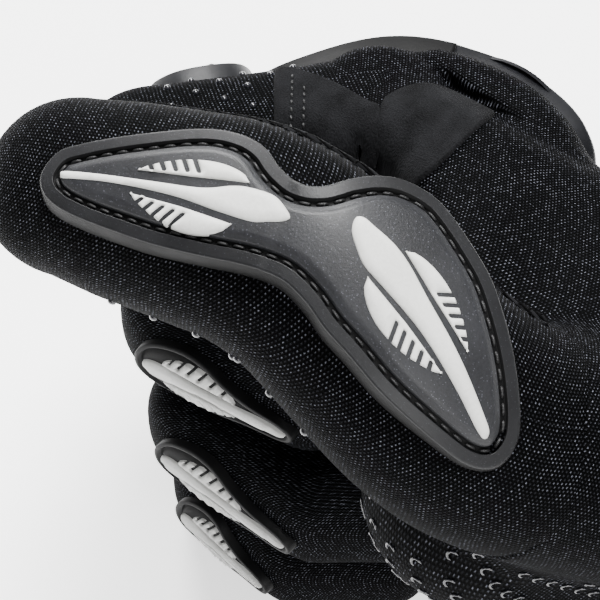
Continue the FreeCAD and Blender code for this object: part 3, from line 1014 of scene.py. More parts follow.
def guard_profile(rim=1.5, groove=0.5, top=2.0, lip=2.2):
    """Rounded raised rim, a groove, then the plateau."""
    def profile(d):
        if d < rim:
            x = (d - rim / 2) / (rim / 2)
            return lip * (0.68 + 0.32 * math.sqrt(max(0.0, 1 - x ** 4)))
        if d < rim + groove:
            return top * 0.55
        return top * (0.72 + 0.28 * smoothstep((d - rim - groove) / 0.9))
    return profile


def make_middle_guard(name, points, headings):
    """Low moulded patch on the middle section with a light dart and two feathered wings."""
    body = section_bodies(name)[2]
    start = -2.1
    size = gap(points[1], points[2]) * 1.05 + 2.9
    place = finger_place(points[1], headings[2], HALF[name][1], start)
    offsets = (0.05, 0.15, 0.35, 0.55, 0.75, 0.95, 1.05, 1.4, 1.9)
    guard = relief(name + "_middle_guard_skin", mirrored(FISH, size, 0.5), offsets,
                   guard_profile(0.95, 0.3, 1.15, 1.45), place, [FINGER_RUBBER, DARK_RUBBER_AND_SHADE], skirt=0.9,
                   bands=((0.98, 1),))
    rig.ride(guard, body)
    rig.replaces(guard, name + "_middle_guard")
    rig.slot(guard, "rubber_guard")

    def raised(a, b, h):
        return place(a + 1.5, b, h + 0.95)
    parts = [("dart", mirrored(DART, size - 2.8, 0.3))]
    for sign, label in ((1, "upper"), (-1, "lower")):
        wing = feather_outline((0.13 * size, sign * 2.1), (0.60 * size, sign * 1.5), sign * 2.9,
                               teeth=6, slot=0.42, start=0.12)
        parts.append((label + "_wing", resample(wing, 0.25)))
    for label, line in parts:
        # the finger guards' inserts take the dimmer copy of the insert colour, as painted shade
        piece = relief("%s_guard_%s" % (name, label), line, (0.1, 0.25), insert_profile(1.0, 0.8), raised,
                       INSERT_SHADED, grid=0.6, skirt=0.4)
        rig.ride(piece, body)
        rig.slot(piece, "light_insert")
        if label == "dart":
            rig.replaces(piece, name + "_guard_inserts")


def make_proximal_guard(name, points, headings):
    """Thick moulded pad on the first section, with a feather of ridges towards the middle joint."""
    body = section_bodies(name)[1]
    length = gap(points[0], points[1])
    start, size = 0.46 * length, 0.47 * length
    lift = 1.3 if name == "index" else 0.0
    place = finger_place(points[0], headings[1], HALF[name][0] + lift, start)
    offsets = (0.05, 0.2, 0.5, 0.9, 1.2, 1.35, 1.7, 2.2, 2.9)
    guard = relief(name + "_proximal_guard_skin", mirrored(ALMOND, size, 0.55), offsets,
                   guard_profile(1.25, 0.4, 2.9, 2.3), place, [GLOSS, FINGER_RUBBER],
                   skirt=0.9 + lift, bands=((1.3, 1),))
    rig.ride(guard, body)
    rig.replaces(guard, name + "_proximal_guard")
    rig.slot(guard, "rubber_guard")
    ribs = []
    for k in range(5):
        a = size * (0.34 + 0.115 * k)
        reach = 5.2 - 0.68 * k
        line = [place(a + 0.05 * b * b, b, 2.9 - 0.02 * b * b) for b in np.linspace(-reach, reach, 11)]
        ribs.append(tube_along(line, 1.0, 10))
    rib = build(name + "_proximal_guard_ribs", *merge(ribs), GLOSS)
    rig.ride(rib, body)
    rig.slot(rib, "gloss_guard")


FINGER_SKINS = {}
for finger in FINGERS:
    skins, points, headings = make_finger(finger)
    FINGER_SKINS[finger] = skins
    make_middle_guard(finger, points, headings)
    make_proximal_guard(finger, points, headings)


# ---------------------------------------------------------------- thumb

KNUCKLE = pivot("thumb_mcp")
TJOINT = pivot("thumb_ip")
ROOT = at_hand(8, 12, 62)
TEND = at_hand(88.8, 59.2, 101)
PLATE_N = unit((-0.30, 0.25, 0.92))
A0, A1, A2 = unit(KNUCKLE - ROOT), unit(TJOINT - KNUCKLE), unit(TEND - TJOINT)
THUMB_AROUND, THUMB_POWER = 72, 2.25
BASE_END = 7.0             # the thumb base stops this far before the thumb's knuckle
TUBE_START = BASE_END + 7  # the thumb's tube starts this far before it, inside the base
FIRST, SECOND, THIRD = gap(ROOT, KNUCKLE), gap(KNUCKLE, TJOINT), gap(TJOINT, TEND)
# at the knuckle and at the end joint: bodies, centre, direction, reach before and after
THUMB_BENDS = ((("hand", "thumb_middle"), KNUCKLE, unit(A0 + A1), 6, 5),
               (("thumb_middle", "thumb_tip"), TJOINT, unit(A1 + A2), 6, 7))


def across_normal(along):
    """Direction out of the thumb's back, square to the given direction."""
    return unit(PLATE_N - along * (PLATE_N @ along))


def bend_thumb(piece, joint):
    """Bends a piece with the thumb's skin across its knuckle (0) or its end joint (1)."""
    bodies, centre, direction, before, after = THUMB_BENDS[joint]
    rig.blend(piece, *bodies, **span(centre, direction, before, after))


def thumb_path():
    """Centre line from inside the thumb base to the tip, with rounded bends."""
    reach = 10.0
    p = [KNUCKLE - A0 * TUBE_START]

    def bend(centre, a, b):
        q0, q2 = centre - a * reach, centre + b * reach
        for k in range(0, 13):
            t = k / 12
            p.append(q0 * (1 - t) ** 2 + centre * 2 * t * (1 - t) + q2 * t * t)
    bend(KNUCKLE, A0, A1)
    for k in range(1, 7):
        p.append(KNUCKLE + A1 * reach + (TJOINT - KNUCKLE - A1 * 2 * reach) * k / 7)
    bend(TJOINT, A1, A2)
    for k in range(1, 12):
        p.append(TJOINT + A2 * reach + (TEND - TJOINT - A2 * reach) * k / 11)
    return resample(np.array(p), 0.9, closed=False)


def thumb_size(s, total):
    """Half width and half thickness at distance s along a path of the given length."""
    f = s / total
    width = np.interp(f, (0, 0.18, 0.5, 0.72, 0.9, 1.0), (15.4, 15.3, 14.3, 14.0, 13.0, 12.0))
    thick = np.interp(f, (0, 0.18, 0.5, 0.72, 0.9, 1.0), (14.4, 14.2, 12.5, 12.0, 11.2, 10.2))
    return width, thick


def make_thumb():
    path = thumb_path()
    along = distances(path)
    total = along[-1]
    tangent = unit_rows(np.gradient(path, axis=0))
    section = superellipse(THUMB_AROUND, THUMB_POWER)
    rings = []
    for p, t, s in zip(path, tangent, along):
        n = across_normal(t)
        side = np.cross(t, n)
        w, h = np.array(thumb_size(s, total)) * (0.93 + 0.07 * smoothstep(s / 7.0))
        rings.append(p + section[:, 0:1] * side * w - section[:, 1:2] * n * h)
    n = across_normal(A2)
    side = np.cross(A2, n)
    for k in range(1, 17):
        angle = math.pi / 2 * k / 16
        shrink = math.cos(angle) ** 0.85 if k < 16 else 0.02
        w, h = thumb_size(total, total)
        centre = TEND + A2 * 13.5 * math.sin(angle) - n * 1.5 * math.sin(angle)
        rings.append(centre + section[:, 0:1] * side * w * shrink - section[:, 1:2] * n * h * shrink)
    rings = np.array(rings)
    middle = (KNUCKLE + TJOINT) / 2
    cut = int(np.argmin(np.linalg.norm(path - middle, axis=1)))
    base, v0 = ring_tube("thumb_base_skin", rings[:cut + 1], MESH)
    tip, _ = ring_tube("thumb_tip_skin", rings[cut:], MESH, v0=v0)
    for joint, skin in enumerate((base, tip)):
        bend_thumb(skin, joint)
        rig.slot(skin, "mesh_fabric")
    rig.replaces(base, "thumb_proximal_sleeve", "thumb_knuckle_stretch")
    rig.replaces(tip, "thumb_distal_sleeve", "thumb_joint_stretch")
    return base, tip


THUMB_SKINS = make_thumb()


# ---------------------------------------------------------------- thumb plate

# plate frame: A along the thumb tip, B across, N outwards; outlines are in (A, B) millimetres
PLATE_A = unit(A2 - PLATE_N * (A2 @ PLATE_N))
PLATE_B = np.cross(PLATE_N, PLATE_A)
TIP_RISE = (A2 @ PLATE_N) / (A2 @ PLATE_A)
BACK = np.array((-A1 @ PLATE_A, -A1 @ PLATE_B))
BACK_RUN = np.linalg.norm(BACK)
BACK = BACK / BACK_RUN
BASE_RISE = (-A1 @ PLATE_N) / BACK_RUN

PLATE_OUTLINE = [(30.9, 3.6), (29.9, 0.4), (27.2, -1.4), (23.5, -3.2), (19.0, -5.1), (14.6, -6.8),
                 (11.0, -7.6), (7.5, -7.4), (4.8, -6.3), (2.4, -4.4), (-0.5, -3.2), (-3.2, -3.9),
                 (-5.9, -6.2), (-8.8, -8.1),
                 (-12.0, -9.1), (-15.7, -8.9), (-18.7, -7.5), (-22.1, -5.1), (-25.4, -2.4), (-27.9, 0.5),
                 (-30.6, 4.1), (-33.0, 7.9), (-35.0, 11.9), (-35.6, 14.6), (-34.9, 17.3), (-33.0, 18.9),
                 (-30.3, 19.4), (-27.0, 18.9), (-21.6, 17.5), (-17.4, 16.0), (-13.0, 13.8), (-9.4, 12.1),
                 (-6.4, 10.2), (-3.3, 8.8), (-0.8, 8.4), (2.7, 8.5), (7.3, 8.9), (13.2, 9.1), (18.3, 8.8),
                 (23.2, 8.3), (27.2, 7.5), (29.8, 6.0)]
TIP_SPEAR = [(28.3, 3.4), (27.6, 2.9), (23.1, 2.3), (16.7, 1.7), (10.4, 1.0), (7.0, -0.2), (4.9, -0.6),
             (1.8, -0.5), (-0.2, 0.6), (-1.1, 1.6), (-0.2, 2.4), (1.2, 2.9), (3.3, 3.5), (7.7, 3.4),
             (12.4, 3.0), (17.7, 3.0), (22.8, 3.3), (27.4, 3.9)]
BASE_SPEAR = [(-8.0, -1.3), (-8.2, 0.5), (-9.6, 2.4), (-11.2, 3.9), (-14.3, 5.4), (-19.8, 8.2),
              (-25.9, 12.3), (-30.2, 15.5), (-31.6, 15.9), (-31.8, 14.9), (-30.4, 13.4), (-25.2, 8.7),
              (-19.6, 4.3), (-16.0, 1.3), (-13.4, -0.3), (-10.6, -1.3), (-9.0, -1.8)]
# wings: tip, end, bulge
WINGS = {"tip": (((4.9, -1.0), (18.9, 0.9), -2.4), ((5.0, 4.3), (18.7, 3.7), 2.6)),
         "base": (((-14.7, 0.0), (-26.0, 8.2), 2.4), ((-11.8, 4.6), (-24.2, 11.5), -2.9))}


def plate_height(a, b):
    """Height of the plate's seat above the thumb joint, along N: a rounded tent over the two bones,
    drooping towards both ends and curved across."""
    back = a * BACK[0] + b * BACK[1]
    tip = 12.9 + TIP_RISE * a - 1.6 * (max(a, 0.0) / 31.0) ** 2
    base = 14.6 + BASE_RISE * back - max(0.0, back - 20.0) ** 2 / 75.0
    soft = 3.0
    ridge = -soft * math.log(math.exp(-tip / soft) + math.exp(-base / soft)) + 1.2
    side = b - 1.2 if a > 0 else b * BACK[0] - a * BACK[1]
    return ridge - 0.020 * side * side


def plate_place(a, b, h):
    return TJOINT + PLATE_A * a + PLATE_B * b + PLATE_N * (plate_height(a, b) + h)


def plate_profile(d):
    """Flat-topped rim, sunk stitching channel, then the plateau with a rounded edge."""
    if d < 0.25:
        return 1.5 + 2.2 * d
    if d < 1.75:
        return 2.05 - 0.12 * d / 1.75
    if d < 2.75:
        return 1.05
    return 1.95 + 0.45 * smoothstep((d - 2.75) / 0.9)


def make_plate():
    """Moulded two-lobed plate over the thumb's end joint, with the stitches in its channel."""
    outline = resample(catmull(PLATE_OUTLINE, 8), 0.45)
    offsets = (0.05, 0.15, 0.25, 0.45, 0.9, 1.35, 1.65, 1.73, 1.8, 2.1, 2.5, 2.72, 2.78, 2.95, 3.2, 3.6, 4.0)
    # the outer wall and the stitching channel take the darker rubber, as painted shade
    plate = relief("thumb_plate", outline, offsets, plate_profile, plate_place, [DARK_RUBBER_AND_SHADE, RIM, PLATE],
                   grid=0.8, skirt=2.6, bands=((0.1, 1), (1.76, 0), (2.73, 2)))
    bend = span(TJOINT, unit(A1 + A2), 5, 5)
    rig.blend(plate, "thumb_middle", "thumb_tip", **bend)
    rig.slot(plate, "rubber_guard")
    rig.replaces(plate, "thumb_guard_base_lobe", "thumb_guard_tip_lobe")
    line = ccw(outline)
    line = line + inward(line) * 2.25
    path = np.array([plate_place(a, b, 1.15) for a, b in line])
    threads = stitches(path, np.tile(PLATE_N, (len(path), 1)), 1.6, 0.45, 0.21)
    seam = build("thumb_plate_stitches", *threads, THREAD)
    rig.blend(seam, "thumb_middle", "thumb_tip", **bend)
    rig.slot(seam, "stretch_fabric")


def make_plate_inserts():
    """A light spear with a feathered wing on each side, on both lobes of the plate."""
    def raised(a, b, h):
        return plate_place(a, b, h + 2.0)
    for lobe, body, spear in (("tip", "thumb_tip", TIP_SPEAR), ("base", "thumb_middle", BASE_SPEAR)):
        pieces = [("spear", resample(catmull(spear, 6), 0.3))]
        for label, (start, end, bulge) in zip(("outer", "inner"), WINGS[lobe]):
            pieces.append((label + "_wing", resample(feather_outline(start, end, bulge), 0.25)))
        made = []
        for label, line in pieces:
            piece = relief("thumb_%s_%s" % (lobe, label), line, (0.1, 0.25), insert_profile(1.15, 0.9),
                           raised, INSERT, grid=0.55, skirt=0.6)
            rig.ride(piece, body)
            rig.slot(piece, "light_insert")
            made.append(piece)
        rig.replaces(made[0], "thumb_%s_inserts" % lobe)


make_plate()
make_plate_inserts()


# ---------------------------------------------------------------- hand skin

GUARD_CENTRE = (70.5, 18.5)        # centre of the knuckle guard's sweep, in the hand frame
GUARD_INNER = 33.2
# the hand's section at five stations from the wrist to the knuckles
HAND_X = (-2.0, 22.0, 44.0, 64.0, 98.0)
HAND_BACK = (-15.0, -14.5, -12.0, -11.0, -10.0)
HAND_PALM = (24.0, 22.0, 12.0, 9.5, 9.5)
HAND_LOW = (9.0, 2.6, 0.8, 0.8, 0.8)
HAND_HIGH = (79.0, 82.0, 84.2, 84.6, 84.6)
HAND_ROUND = 10.0
CUFF_POWER = 2.9
WRIST_CENTRE = (4.5, 44.0)         # across from back to palm, and along Z
WRIST_HALF = (19.2, 34.7)
CELL = 1.0
UV_CENTRE = 42.0                   # height of the line that the back's and palm's weave runs round


def smooth_min(a, b, k):
    h = np.clip(0.5 + 0.5 * (b - a) / k, 0, 1)
    return b * (1 - h) + a * h - k * h * (1 - h)


def capsule(x, y, z, p, q, r0, r1):
    """Distance to a tapered capsule between two points."""
    d = q - p
    length = d @ d
    px, py, pz = x - p[0], y - p[1], z - p[2]
    t = np.clip((px * d[0] + py * d[1] + pz * d[2]) / length, 0, 1)
    dist = np.sqrt((px - d[0] * t) ** 2 + (py - d[1] * t) ** 2 + (pz - d[2] * t) ** 2)
    return dist - (r0 + (r1 - r0) * t)


def rounded(q, w, corner):
    """Distance to a round-cornered section from the distances past its two inner faces."""
    return np.sqrt(np.maximum(q, 0) ** 2 + np.maximum(w, 0) ** 2) + np.minimum(np.maximum(q, w), 0) - corner


def drum(x, y, z, radius, half, corner):
    """Distance to a round-edged drum standing along Z."""
    q = np.sqrt(x * x + y * y) - (radius - corner)
    w = np.abs(z) - (half - corner)
    return rounded(q, w, corner)


def slab_triangle(x, y, z, a, b, c, radius):
    """Distance to a thick triangle: the web of cloth between the thumb and the index knuckle."""
    pts = np.stack([x, y, z], axis=-1)
    n = unit(np.cross(b - a, c - a))
    flat = (pts - a) @ n
    best = np.abs(flat)
    out = np.full(flat.shape, False)
    edge = np.full(flat.shape, 1e9)
    for p, q, r in ((a, b, c), (b, c, a), (c, a, b)):
        d = q - p
        m = np.cross(n, d)
        if m @ (r - p) < 0:
            m = -m
        out |= (pts - p) @ m < 0
        t = np.clip(((pts - p) @ d) / (d @ d), 0, 1)
        near = p + t[..., None] * d
        edge = np.minimum(edge, np.sqrt(((pts - near) ** 2).sum(-1)))
    return np.where(out, edge, best) - radius


def hand_body(x, y, z):
    """Distance to the palm and back: a rounded section that follows the stations and the knuckles."""
    back, palm, low, high = (np.interp(x, HAND_X, side)
                             for side in (HAND_BACK, HAND_PALM, HAND_LOW, HAND_HIGH))
    near = smoothstep((x - 40) / 30)
    tops = [KNUCKLES[f][1] - HALF[f][0] for f in reversed(FINGERS)]
    back = back * (1 - near) + np.interp(z, KNUCKLE_HEIGHTS, tops) * near
    qy = np.abs(y - (back + palm) / 2) - ((palm - back) / 2 - HAND_ROUND)
    qz = np.abs(z - (low + high) / 2) - ((high - low) / 2 - HAND_ROUND)
    front = np.interp(z, KNUCKLE_HEIGHTS, [KNUCKLES[f][0] for f in reversed(FINGERS)]) - 3.0
    return -smooth_min(-rounded(qy, qz, HAND_ROUND), front - x, 7.0)


def thumb_base(x, y, z):
    """Distance to the tapered cone of the thumb base, cut square before the thumb's knuckle."""
    root = ROOT - WRIST
    rx, ry, rz = x - root[0], y - root[1], z - root[2]
    out = across_normal(A0)
    along, over, aside = (rx * v[0] + ry * v[1] + rz * v[2] for v in (A0, out, np.cross(A0, out)))
    share = np.clip(along / 45.0, 0, 1)
    wide, deep = 17.5 - 2.0 * share, 17.5 - 3.0 * share
    cone = (np.sqrt((aside / wide) ** 2 + (over / deep) ** 2) - 1) * deep
    return np.maximum(np.maximum(cone, -along - 10), along - (FIRST - BASE_END))


def wrist_limit(x, y, z):
    """Distance past the cuff's section, which opens out quickly from the wrist to the hand."""
    spread = (np.abs(y - WRIST_CENTRE[0]) / WRIST_HALF[0]) ** CUFF_POWER
    spread += (np.abs(z - WRIST_CENTRE[1]) / WRIST_HALF[1]) ** CUFF_POWER
    past = np.maximum(x + 1.5, 0)
    return (np.maximum(spread, 1e-6) ** (1 / CUFF_POWER) - 1) * WRIST_HALF[0] - 0.8 * past - 0.1 * past * past


def hand_field(x, y, z):
    """Signed distance of the hand, thumb base and web, in the hand frame."""
    d = hand_body(x, y, z)
    for f, c in KNUCKLES.items():
        d = smooth_min(d, drum(x - c[0], y - c[1], z - c[2], HALF[f][0] - 0.3, HALF_WIDTH - 0.2, 4.0), 2.0)
    sweep = drum(x - GUARD_CENTRE[0], y - GUARD_CENTRE[1], z - 42.0, GUARD_INNER + 0.3, 40.5, 5.0)
    foam = np.maximum(np.maximum(sweep, x - 85.0), y + 6.8)
    d = smooth_min(d, foam, 3.0)
    d = smooth_min(d, thumb_base(x, y, z), 8.0)
    web_end = KNUCKLE - WRIST - A0 * (BASE_END - 1) - A0 * 8 + np.array((4, -3, -1))
    web = slab_triangle(x, y, z, np.array((73.0, 6.0, 78.5)), np.array((30.0, 0.0, 76.0)), web_end, 5.5)
    d = smooth_min(d, web, 8.0)
    heel = capsule(x, y, z, np.array((10.0, 12.0, 22.0)), np.array((34.0, 8.0, 20.0)), 12.0, 9.0)
    d = smooth_min(d, heel, 8.0)
    ball = capsule(x, y, z, np.array((16.0, 17.0, 34.0)), np.array((34.5, 35.5, 60.0)), 16.0, 17.5)
    d = smooth_min(d, ball, 7.0)
    d = -smooth_min(-d, -wrist_limit(x, y, z), 2.0)
    # soft folds running down from the web
    wave = np.sin((x * 0.55 + y * 0.25 - z * 0.1) * 0.42)
    return d + 0.55 * (wave * np.exp(-((x - 48) / 18) ** 2 - ((z - 84) / 14) ** 2))


def surface_nets(field, low, high, cell):
    """Closed quad mesh of the field's zero level on a regular grid."""
    axes = [np.arange(a, b + cell, cell) for a, b in zip(low, high)]
    x, y, z = np.meshgrid(*axes, indexing="ij")
    f = field(x, y, z)
    sign = f < 0
    nx, ny, nz = (n - 1 for n in f.shape)
    count = np.zeros((nx, ny, nz))
    total = np.zeros((nx, ny, nz, 3))
    corners = [(i, j, k) for i in (0, 1) for j in (0, 1) for k in (0, 1)]
    for c in corners:
        for axis in range(3):
            if c[axis]:
                continue
            d = list(c)
            d[axis] = 1
            fa = f[c[0]:c[0] + nx, c[1]:c[1] + ny, c[2]:c[2] + nz]
            fb = f[d[0]:d[0] + nx, d[1]:d[1] + ny, d[2]:d[2] + nz]
            cross = (fa < 0) != (fb < 0)
            t = np.where(cross, fa / np.where(cross, fa - fb, 1), 0)
            for k in range(3):
                part = c[k] + (t if k == axis else 0)
                total[..., k] += np.where(cross, part, 0)
            count += cross
    active = count > 0
    number = -np.ones(count.shape, int)
    number[active] = np.arange(active.sum())
    cells = np.argwhere(active)
    co = (cells + total[active] / count[active][:, None]) * cell + np.array(low)
    faces = []
    for axis in range(3):
        u, v = (axis + 1) % 3, (axis + 2) % 3
        size = [nx, ny, nz]
        a = [slice(None)] * 3
        b = [slice(None)] * 3
        a[axis] = slice(0, -1)
        b[axis] = slice(1, None)
        sa, sb = sign[tuple(a)], sign[tuple(b)]
        where = np.argwhere(sa != sb)
        ok = (where[:, u] > 0) & (where[:, v] > 0) & (where[:, u] < size[u]) & (where[:, v] < size[v])
        where = where[ok]
        flip = sa[tuple(where.T)]
        quads = []
        for du, dv in ((-1, -1), (0, -1), (0, 0), (-1, 0)):
            w = where.copy()
            w[:, u] += du
            w[:, v] += dv
            quads.append(number[tuple(w.T)])
        quad = np.stack(quads, axis=1)
        quad = np.where(flip[:, None], quad, quad[:, ::-1])
        faces.append(quad)
    return co, np.vstack(faces)


def hand_uv(co, faces):
    """Face-corner uv in millimetres: round the hand and along it, round the thumb base, or across
    the front between the fingers."""
    x, y, z = co.T
    hand_round, thumb_round = 34.0, 15.5        # millimetres of cloth per radian round each
    hand = np.stack([np.arctan2(z - UV_CENTRE, y * 1.6) * hand_round, x], axis=1)
    n = across_normal(A0)
    rel = co - (ROOT - WRIST)
    turn = np.arctan2(rel @ np.cross(A0, n), rel @ n)
    along = rel @ A0
    thumb = np.stack([turn * thumb_round, along], axis=1)
    offaxis = np.linalg.norm(rel - along[:, None] * A0, axis=1)
    on_thumb = (offaxis < 19.5) & (y > 17)
    label = on_thumb[faces].mean(axis=1) > 0.5
    uv = np.where(label[:, None, None], thumb[faces], hand[faces])
    quad = co[faces]
    normal = np.cross(quad[:, 2] - quad[:, 0], quad[:, 3] - quad[:, 1])
    front = (np.abs(normal[:, 0]) > 0.75 * np.linalg.norm(normal, axis=1)) & ~label
    uv = np.where(front[:, None, None], quad[:, :, 2:0:-1], uv)
    lap = np.where(label, thumb_round, hand_round)[:, None] * 2 * math.pi
    uv[..., 0] -= np.round((uv[..., 0] - uv[:, :1, 0]) / lap) * lap
    return uv.reshape(-1, 2)


def make_hand():
    """One skin over the palm, the back, the ball of the thumb and the web, open at the wrist."""
    cell = 1.6 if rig.quick() else CELL
    co, faces = surface_nets(hand_field, (-4, -22, -4), (100, 66, 104), cell)
    faces = faces[co[faces][:, :, 0].mean(axis=1) >= -2.6]
    skin = build("hand_skin", co + WRIST, faces, MESH, hand_uv(co, faces))
    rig.ride(skin, "hand")
    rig.slot(skin, "mesh_fabric")
    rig.replaces(skin, "back_panel", "palm_panel", "ulnar_side_panel", "radial_side_panel",
                "thumb_base_sleeve", "knuckle_stretch_panels", "knuckle_foam_pad", "palm_thenar_pad")
    return skin


HAND = make_hand()


# ---------------------------------------------------------------- knuckle guard

GUARD_MID = GUARD_INNER + 2.3


def sweep_turn(a):
    """Angle at a distance along the guard's sweep; 0 faces straight out of the back of the hand."""
    return math.radians(-90 + math.degrees(a / GUARD_MID))


def knuckle_place(a, b, h):
    """(distance along the sweep, height along Z, rise over the foam) to a point."""
    turn, r = sweep_turn(a), GUARD_INNER + h
    return at_hand(GUARD_CENTRE[0] + r * math.cos(turn), GUARD_CENTRE[1] + r * math.sin(turn), b)


def knuckle_profile(d):
    """Thick rounded rim, a groove, then the plateau."""
    rim, plateau = 2.2, 2.9
    if d < rim:
        x = (d - rim / 2) / (rim / 2)
        return 1.7 + 1.2 * math.sqrt(max(0.0, 1 - abs(x) ** 2.6))
    if d < plateau:
        return 1.1
    return 1.5 + 0.9 * smoothstep((d - plateau) / 1.6)


def make_knuckle_guard():
    """Moulded shell with a lobe over each knuckle."""
    edge = [(-17.0, 70.0), (-18.0, 42.0), (-17.0, 13.0), (-12.0, 4.6), (0.0, 3.2), (12.0, 3.6)]
    for i, z in enumerate(KNUCKLE_HEIGHTS):
        edge += [(18.0, z - 5.0), (19.8, z), (18.0, z + 5.0)]
        if i < 3:
            edge.append((14.5, (z + KNUCKLE_HEIGHTS[i + 1]) / 2))
    edge += [(11.0, 79.4), (0.0, 79.6), (-12.0, 78.0)]
    outline = resample(catmull(edge, 8), 0.7)
    offsets = (0.06, 0.2, 0.5, 0.9, 1.4, 1.8, 2.1, 2.2, 2.32, 2.8, 2.95, 3.4, 3.9, 4.4)
    # the groove takes the darker rubber, as painted shade
    guard = relief("knuckle_guard_shell", outline, offsets, knuckle_profile, knuckle_place,
                   [GLOSS, DARK_RUBBER_AND_SHADE, GLOSS], grid=1.0, skirt=0.6, bands=((2.25, 1), (2.92, 2)))
    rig.ride(guard, "hand")
    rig.slot(guard, "gloss_guard")
    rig.replaces(guard, "knuckle_guard")


def make_knuckle_domes():
    """A raised cap with four curved ribs on each lobe of the guard."""
    domes = []
    oval = [(11.5 * math.cos(t) - 1.5 * math.sin(t) ** 2, 6.4 * math.sin(t))
            for t in np.linspace(0, 2 * math.pi, 41)[:-1]]

    def dome_profile(d):
        return 1.9 * math.sin(min(1.0, (d + 0.25) / 4.6) * math.pi / 2)
    for z in KNUCKLE_HEIGHTS:
        def dome_place(a, b, h, z=z):
            return knuckle_place(a + 3.5, b + z, 2.0 + h)
        dome = relief("knuckle_dome_%d" % round(z), resample(oval, 0.6), (0.1, 0.3, 0.6, 1.0, 1.5, 2.1, 2.8),
                      dome_profile, dome_place, GLOSS, grid=0.8, skirt=0.5)
        domes.append(dome)
        for k in range(4):
            reach = 3.6 - 0.5 * k
            line = [dome_place(-2.0 + 2.5 * k - 0.12 * b * b, b, 1.85 - 0.03 * b * b)
                    for b in np.linspace(-reach, reach, 9)]
            rib = build("knuckle_rib_%d_%d" % (round(z), k), *tube_along(line, 0.62, 8), DARK_RUBBER_AND_SHADE)
            rib.parent = dome
        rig.ride(dome, "hand")
        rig.slot(dome, "gloss_guard")
    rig.replaces(domes[0], "knuckle_guard_caps")


def lip_curve(finger):
    """Plan curve of a lobe that runs on from the guard over the finger's first section."""
    points, headings = finger_line(finger)
    half = HALF[finger][0]
    turn = sweep_turn(LIP_START)
    p0 = knuckle_place(LIP_START, 0, 0.9)
    t0 = np.array((-math.sin(turn), math.cos(turn), 0))
    t3 = turned(headings[1])
    p3 = points[0] + t3 * LIP_REACH[finger] + turned(headings[1] - 90) * (half + 0.5)
    p3[2] = p0[2]
    reach = np.linalg.norm(p3 - p0) * 0.42
    p1, p2 = p0 + t0 * reach, p3 - t3 * reach
    t = np.linspace(0, 1, 41)[:, None]
    curve = p0 * (1 - t) ** 3 + 3 * p1 * t * (1 - t) ** 2 + 3 * p2 * t * t * (1 - t) + p3 * t ** 3
    return resample(curve, 0.5, closed=False)


LIP_START = 14.0
LIP_WIDE = 7.2
LIP_REACH = {"index": 18.5, "middle": 17.0, "ring": 16.0, "little": 14.0}


def make_lips():
    """Flexible lobes from the knuckle guard over the first section of each finger."""
    for finger in FINGERS:
        curve = lip_curve(finger)
        tangent = np.gradient(curve, axis=0)
        run = distances(curve)
        middle = pivot(finger + "_mcp")[2] - (1.2 if finger == "index" else 0.0)

        def place(a, b, h, curve=curve, tangent=tangent, run=run, middle=middle):
            p = sample(a, run, curve)
            t = unit(sample(a, run, tangent))
            out = np.array((t[1], -t[0], 0))
            return p + out * (h - 0.012 * b * b) + np.array((0, 0, middle - p[2] + b))
        half = [(x * run[-1], y * LIP_WIDE) for x, y in ((0.0, 1.0), (0.45, 0.97), (0.8, 0.78), (0.96, 0.4))]
        edge = [(x, -y) for x, y in half] + [(run[-1], 0.0)] + half[::-1]
        outline = resample(catmull(edge, 6, closed=False), 0.6)
        # the outer edge and the groove take the darker rubber, as painted shade
        lip = relief(finger + "_knuckle_lobe", outline, (0.06, 0.25, 0.6, 1.0, 1.4, 1.7, 1.85, 2.4, 2.9),
                     guard_profile(1.75, 0.6, 1.7, 1.9), place, [DARK_RUBBER_AND_SHADE, GLOSS], grid=0.9, skirt=3.2,
                     bands=((0.15, 1), (1.8, 0), (2.35, 1)))
        centre = pivot(finger + "_mcp")
        across = turned(finger_line(finger)[1][1] / 2)
        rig.blend(lip, "hand", finger + "_proximal_section", **span(centre, across, 2.0, 11.0))
        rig.slot(lip, "gloss_guard")


make_knuckle_guard()
make_knuckle_domes()
make_lips()


# ---------------------------------------------------------------- suede patches

PATCH_FLOOR = 75.0         # the patches never hang lower than this beside the finger


def drop(tree, lift):
    """Place function: (hand x, hand y, height) falls onto the radial side of the hand."""
    def place(a, b, h):
        start = at_hand(a, b, 125.0)
        hit = cast(tree, start, (0, 0, -1.0))
        if hit is None or hit[0][2] < WRIST[2] + PATCH_FLOOR:
            return at_hand(a, b, PATCH_FLOOR + h)
        return hit[0] + hit[1] * (lift + h)
    return place


def patch_profile(d):
    """Thin panel with a turned edge."""
    return 0.55 * min(1.0, 0.3 + d / 0.5)


